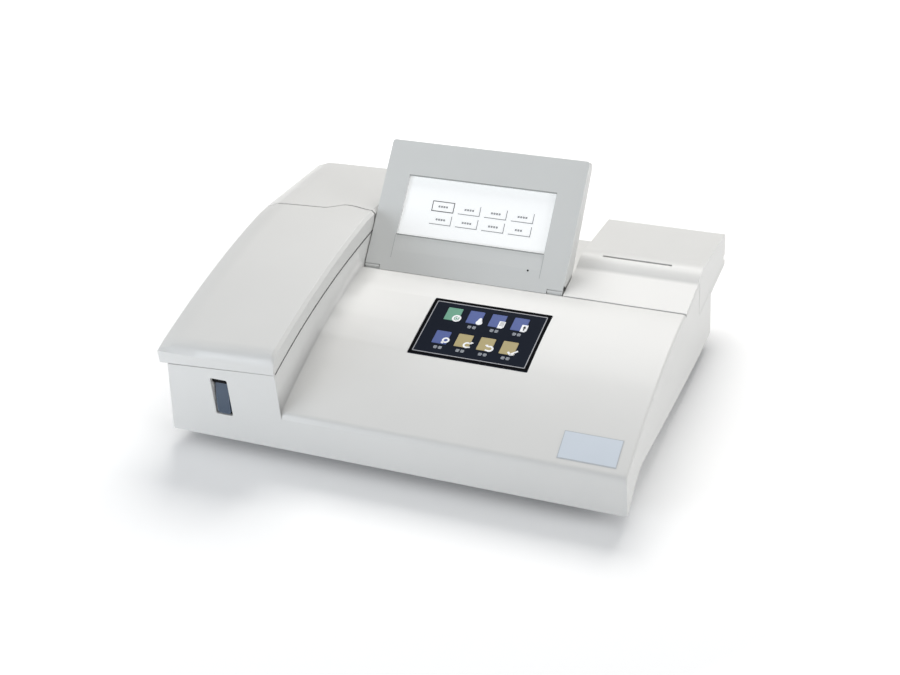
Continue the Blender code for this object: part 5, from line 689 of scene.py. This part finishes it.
# The dark sheet of painted shade in the recess above the plate.
recess_shade = np.array([[(TRIGGER_X + side * RECESS_SHADE_HALF, FRONT + depth, height) for depth, height in RECESS_SHADE_PROFILE]
                 for side in (-1, 1)])
piece("trigger_recess_shade", capped(recess_shade), shade_and_lamp_black, "base")
film_front, _ = trigger_skin(0.75 * MM, 0.06 * MM)
piece("trigger_face", sheet_between(film_front, film_front + np.array([0, 0.2 * MM, 0])),
      finishes["trigger_blue"], "trigger", smooth=35)


# ---------------------------------------------------------------- display

TILT = math.radians(43.9)               # the screen's lean at rest
face_up = np.array([0.0, math.cos(TILT), math.sin(TILT)])
screen = plane(np.array(joint_at["screen"]["pos_m"]), RIGHT, face_up)
GLASS_FACE, BEZEL_FACE = 0.1 * MM, 3.0 * MM         # how far each stands in front of the hinge axis


def in_front(place, depth):
    """The frame of a face moved out of it by a depth."""
    moved = place.copy()
    moved[:3, 3] += place[:3, 2] * depth
    return moved


BUTTON_X, BUTTON_Y = 10.5 * MM, 4.6 * MM            # half sizes
FIRST_BUTTON, BUTTON_STEP = (-33.7, 64.1), (25.9, 12.5)
DASH, DASH_STEP = 0.95 * MM, 2.5 * MM
SHADE, SHADE_OVERLAP = 0.8 * MM, 0.4 * MM
shades, heavy, words = [], [], []
for row in range(2):
    for column in range(4):
        x = (FIRST_BUTTON[0] + BUTTON_STEP[0] * column) * MM
        y = (FIRST_BUTTON[1] - BUTTON_STEP[1] * row) * MM
        if row == 0 and column == 0:
            heavy.append(frame_line(BUTTON_X + 0.5 * MM, BUTTON_Y + 0.5 * MM, 0.4 * MM, SHADE, 0.0,
                                    0.06 * MM, (x, y)))
        side, under = x + BUTTON_X, y - BUTTON_Y
        for line in ([(side, under), (side, y), (side, y + BUTTON_Y)],
                     [(x - BUTTON_X, under), (x, under), (side + SHADE_OVERLAP, under)]):
            shades.append(stroke(line, SHADE, 0.0, 0.05 * MM))
        for i in range(4 if column < 3 or row == 0 else 3):
            words.append(pad(DASH, DASH, 0.25 * MM, 0.0, 0.05 * MM, (x + (i - 1.5) * DASH_STEP, y)))
glass_face = in_front(screen, GLASS_FACE)
for name, parts, ink in (("display_shades", shades, screen_line), ("display_frame", heavy, screen_dark),
                         ("display_marks", words, screen_line)):
    piece(name, joined(parts), ink, "screen", glass_face)

for side, name in ((-1, "left"), (1, "right")):
    flap = pad(7.1 * MM, 0.75 * MM, 0.2 * MM, 2.74 * MM, 3.0 * MM, (side * 89.2 * MM, -0.2 * MM))
    patch = pad(7.7 * MM, 2.9 * MM, 0.2 * MM, 2.7 * MM, 3.05 * MM, (side * 88.7 * MM, 4.2 * MM))
    piece("hinge_cover_" + name, joined([flap, patch]), finishes["bezel_grey"], "screen", screen)
# Painted shadow: dark grey lines along the window's top and bottom edges, where the bezel's recess casts shade.
edge_shades = [pad(72.4 * MM, 0.55 * MM, 0.1 * MM, 2.95 * MM, 3.04 * MM, (-0.1 * MM, y * MM))
        for y in (89.75, 32.25)]
piece("window_edge_shades", joined(edge_shades), edge_shade_grey, "screen", screen)
# Painted shade: thin grey strips below the window's sides stand for the shade along the edge of a step there.
steps = [pad(0.3 * MM, 11.0 * MM, 0.1 * MM, 2.95 * MM, 3.05 * MM, (x * MM, 20.6 * MM))
         for x in (-72.8, 72.5)]
piece("window_step_shades", joined(steps), step_shade_grey, "screen", screen)

LAMP_PROFILE = np.array([(0.0, 0.0), (0.9, 0.0), (0.9, 0.12), (0.5, 0.32), (0.0, 0.38)]) * MM
dome, dome_faces = turned(LAMP_PROFILE, 20)
piece("status_lamp", (dome + np.array([60.5 * MM, 15.5 * MM, 0.0]), dome_faces), shade_and_lamp_black, "screen",
      in_front(screen, BEZEL_FACE))


# ---------------------------------------------------------------- bare nameplate on the deck

def climb(y, depth, foot, rise, power):
    """Height at a world Y of an edge that climbs from its foot at the front and levels out at a depth."""
    share = np.clip((y - FRONT) / depth, 0, 1)
    return foot + rise * (1 - (1 - share) ** power)


PLATE_X, PLATE_Y, PLATE_WIDTH, PLATE_DEPTH, PLATE_LEAN = 0.1490, -0.1542, 50.0 * MM, 25.0 * MM, -0.6 * MM
DECK = (181.8 * MM, 50.0 * MM, 40.0 * MM, 1.8)          # depth, foot, rise and power of its climb
SEAM = (190.0 * MM, 91.0 * MM, 23.0 * MM, 2.2)          # the same for the lid's seam


def deck_sheet(inset, lift_low, lift_high, steps=14):
    """Thin plate on the deck: a leaning rectangle in plan, each point raised by the deck's height."""
    u, v = np.meshgrid(np.linspace(0, 1, steps), np.linspace(0, 1, steps))
    x = PLATE_X + inset + (PLATE_WIDTH - 2 * inset) * u + PLATE_LEAN * v
    y = PLATE_Y + inset + (PLATE_DEPTH - 2 * inset) * v
    z = climb(y, *DECK)
    return sheet_between(np.stack([x, y, z + lift_high], -1), np.stack([x, y, z + lift_low], -1))


piece("nameplate_edge", deck_sheet(0.0, -0.1 * MM, 0.35 * MM), plate_edge, "base")
piece("nameplate", deck_sheet(0.7 * MM, 0.0, 0.45 * MM), plate_film, "base")


# ---------------------------------------------------------------- lid seam shade

# Painted shade: a dark strip on the housing's side, just under the lid's seam. It stands for the shade of the
# seam's gap and the lid's overhang.
SEAM_SHADE_X, SEAM_SHADE_FRONT, SEAM_SHADE_REAR = -0.0970, -0.1600, 0.0640
SEAM_SHADE_PROFILE = ((-0.2, -1.05), (0.12, -1.05), (0.12, -0.06), (-0.2, -0.06))
y = np.linspace(SEAM_SHADE_FRONT, SEAM_SHADE_REAR, 60)
seam = climb(y, *SEAM)
strip = np.stack([np.stack([np.full_like(y, SEAM_SHADE_X + out * MM), y, seam + rise * MM], -1)
                  for out, rise in SEAM_SHADE_PROFILE], 1)
piece("lid_seam_shade", capped(strip), seam_shade_grey, "base")


# ---------------------------------------------------------------- fasteners

def screw(radius, height):
    """Pan head, a dome of revolution, and the two bars that stand for its cross recess as painted shade."""
    profile = np.array([(0.0, 0.0), (1.0, 0.0), (1.0, 0.45), (0.85, 0.8), (0.5, 1.0), (0.0, 1.0)])
    arm = radius * 0.55
    bars = [stroke(line, radius * 0.24, height, height * 1.04)
            for line in ([(-arm, 0), (0, 0), (arm, 0)], [(0, -arm), (0, 0), (0, arm)])]
    return turned(profile * (radius, height), 24), bars


# X and Z of the middles and the head's radius, all in mm.
PANEL_SCREWS = ((-166, 19.5, 2.4), (166, 19.5, 2.4), (-166, 53.5, 2.4), (166, 53.5, 2.4), (60, 19.5, 2.4),
                (60, 53.5, 2.4), (-134, 22.5, 2.0), (-106, 22.5, 2.0), (-134, 50.5, 2.0), (-106, 50.5, 2.0))
SCREW_HEIGHT = 1.1 * MM
panel_back = plane((0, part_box("rear_panel")[1].y, 0), (-1, 0, 0), (0, 0, 1))
heads, cross_shades = [], []
for x, z, radius in PANEL_SCREWS:
    head, bars = screw(radius * MM, SCREW_HEIGHT)
    shift = np.array([-x * MM, z * MM, 0.0])
    heads.append((head[0] + shift, head[1]))
    cross_shades += [(points + shift, faces) for points, faces in bars]
piece("panel_screws", joined(heads), screw_steel, "base", panel_back)
# Painted shade: the cross recesses are dark bars laid on the heads.
piece("panel_screw_cross_shades", joined(cross_shades), shade_and_lamp_black, "base", panel_back)


# ---------------------------------------------------------------- studio

FLOOR_COLOUR = (0.95, 0.95, 0.95)
FLOOR_GLOW = 0.06                           # white added under the object, where its shadow lies
SHADOW_REACH, WHITE_REACH = 0.42, 0.85      # the added white climbs to 1 between these distances
FLOOR_REACH = 6.0


def combined(tree, operation, one, two):
    """Result of a calculation on two outputs."""
    made = tree.nodes.new("ShaderNodeMath")
    made.operation = operation
    tree.links.new(one, made.inputs[0])
    tree.links.new(two, made.inputs[1])
    return made.outputs[0]


def studio_white():
    """Pale floor: its own colour, with white added away from the object for what is seen directly."""
    made, tree, shader, place = shader_nodes("floor_white")
    painted_by(tree, shader, noise(tree, place, 1.5), tinted(FLOOR_COLOUR, 0.995), FLOOR_COLOUR)
    shader.inputs["Roughness"].default_value = 0.9
    shader.inputs["Specular IOR Level"].default_value = 0.0
    path = tree.nodes.new("ShaderNodeLightPath").outputs
    mirrored = combined(tree, "MAXIMUM", path["Is Camera Ray"], path["Is Glossy Ray"])
    seen = combined(tree, "MAXIMUM", mirrored, path["Is Transmission Ray"])
    reach = tree.nodes.new("ShaderNodeVectorMath")
    reach.operation = "LENGTH"
    tree.links.new(place, reach.inputs[0])
    white = ranged(tree, reach.outputs["Value"], FLOOR_GLOW, 1.0, SHADOW_REACH, WHITE_REACH)
    shader.inputs["Emission Color"].default_value = (1, 1, 1, 1)
    tree.links.new(combined(tree, "MULTIPLY", seen, white), shader.inputs["Emission Strength"])
    return made


floor_mesh = bpy.data.meshes.new("floor")
floor_corners = np.array([(-1, -1, 0), (1, -1, 0), (1, 1, 0), (-1, 1, 0)]) * FLOOR_REACH
floor_mesh.from_pydata(floor_corners.tolist(), [], [(0, 1, 2, 3)])
floor_mesh.materials.append(studio_white())
floor = bpy.data.objects.new("floor", floor_mesh)
bpy.context.scene.collection.objects.link(floor)


def area_light(name, place, aim, size, watts, colour):
    """Soft rectangular lamp turned from its place to its aim."""
    data = bpy.data.lights.new(name, "AREA")
    data.shape = "RECTANGLE"
    data.size, data.size_y = size
    data.energy = watts
    data.color = colour
    made = bpy.data.objects.new(name, data)
    made.location = place
    made.rotation_euler = (Vector(aim) - Vector(place)).to_track_quat("-Z", "Y").to_euler()
    bpy.context.scene.collection.objects.link(made)


area_light("key_light", (-0.15, 1.35, 1.75), (0.0, 0.05, 0.05), (1.5, 1.0), 35.0, (1.0, 0.985, 0.965))
area_light("front_fill", (-1.0, -1.15, 0.32), (-0.1, -0.1, 0.09), (1.1, 0.55), 10.0, (0.87, 0.93, 1.0))
area_light("side_fill", (2.6, -0.5, 0.95), (-0.1, 0.0, 0.10), (1.8, 1.0), 24.0, (0.98, 0.99, 1.0))

scene = bpy.context.scene
scene.view_settings.view_transform = "Standard"

# The world lights the object at ROOM_LIGHT and is seen as plain white.
ROOM_LIGHT = 0.41
world = bpy.data.worlds.new("studio")
scene.world = world
world.use_nodes = True
tree = world.node_tree
room = tree.nodes["Background"]
room.inputs["Color"].default_value = (0.97, 0.985, 1.0, 1)
seen = tree.nodes.new("ShaderNodeLightPath").outputs["Is Camera Ray"]
tree.links.new(ranged(tree, seen, ROOM_LIGHT, 1.0, 0.0, 1.0), room.inputs["Strength"])

# The camera, fitted to thirty points of the object: focal length and width of the frame in pixels.
FOCAL, FRAME_WIDTH, SENSOR = 1565.288, 900, 36.0
CAMERA_PLACE = (0.48994, -1.08000, 0.84683)
azimuth, elevation, roll = map(math.radians, (24.664, 34.178, -5.186))
backward = Vector((math.sin(azimuth) * math.cos(elevation), -math.cos(azimuth) * math.cos(elevation),
                   math.sin(elevation)))
across = (-backward).cross(Vector((0, 0, 1))).normalized()
upward = across.cross(-backward)
across, upward = (across * math.cos(roll) + upward * math.sin(roll),
                  upward * math.cos(roll) - across * math.sin(roll))
data = bpy.data.cameras.new("photo_camera")
data.sensor_width = SENSOR
data.sensor_fit = "HORIZONTAL"
data.lens = FOCAL / FRAME_WIDTH * SENSOR
data.clip_start = 0.05
camera = bpy.data.objects.new("photo_camera", data)
turned_to = Matrix((across, upward, backward)).transposed().to_4x4()
turned_to.translation = Vector(CAMERA_PLACE)
camera.matrix_world = turned_to
scene.collection.objects.link(camera)
scene.camera = camera
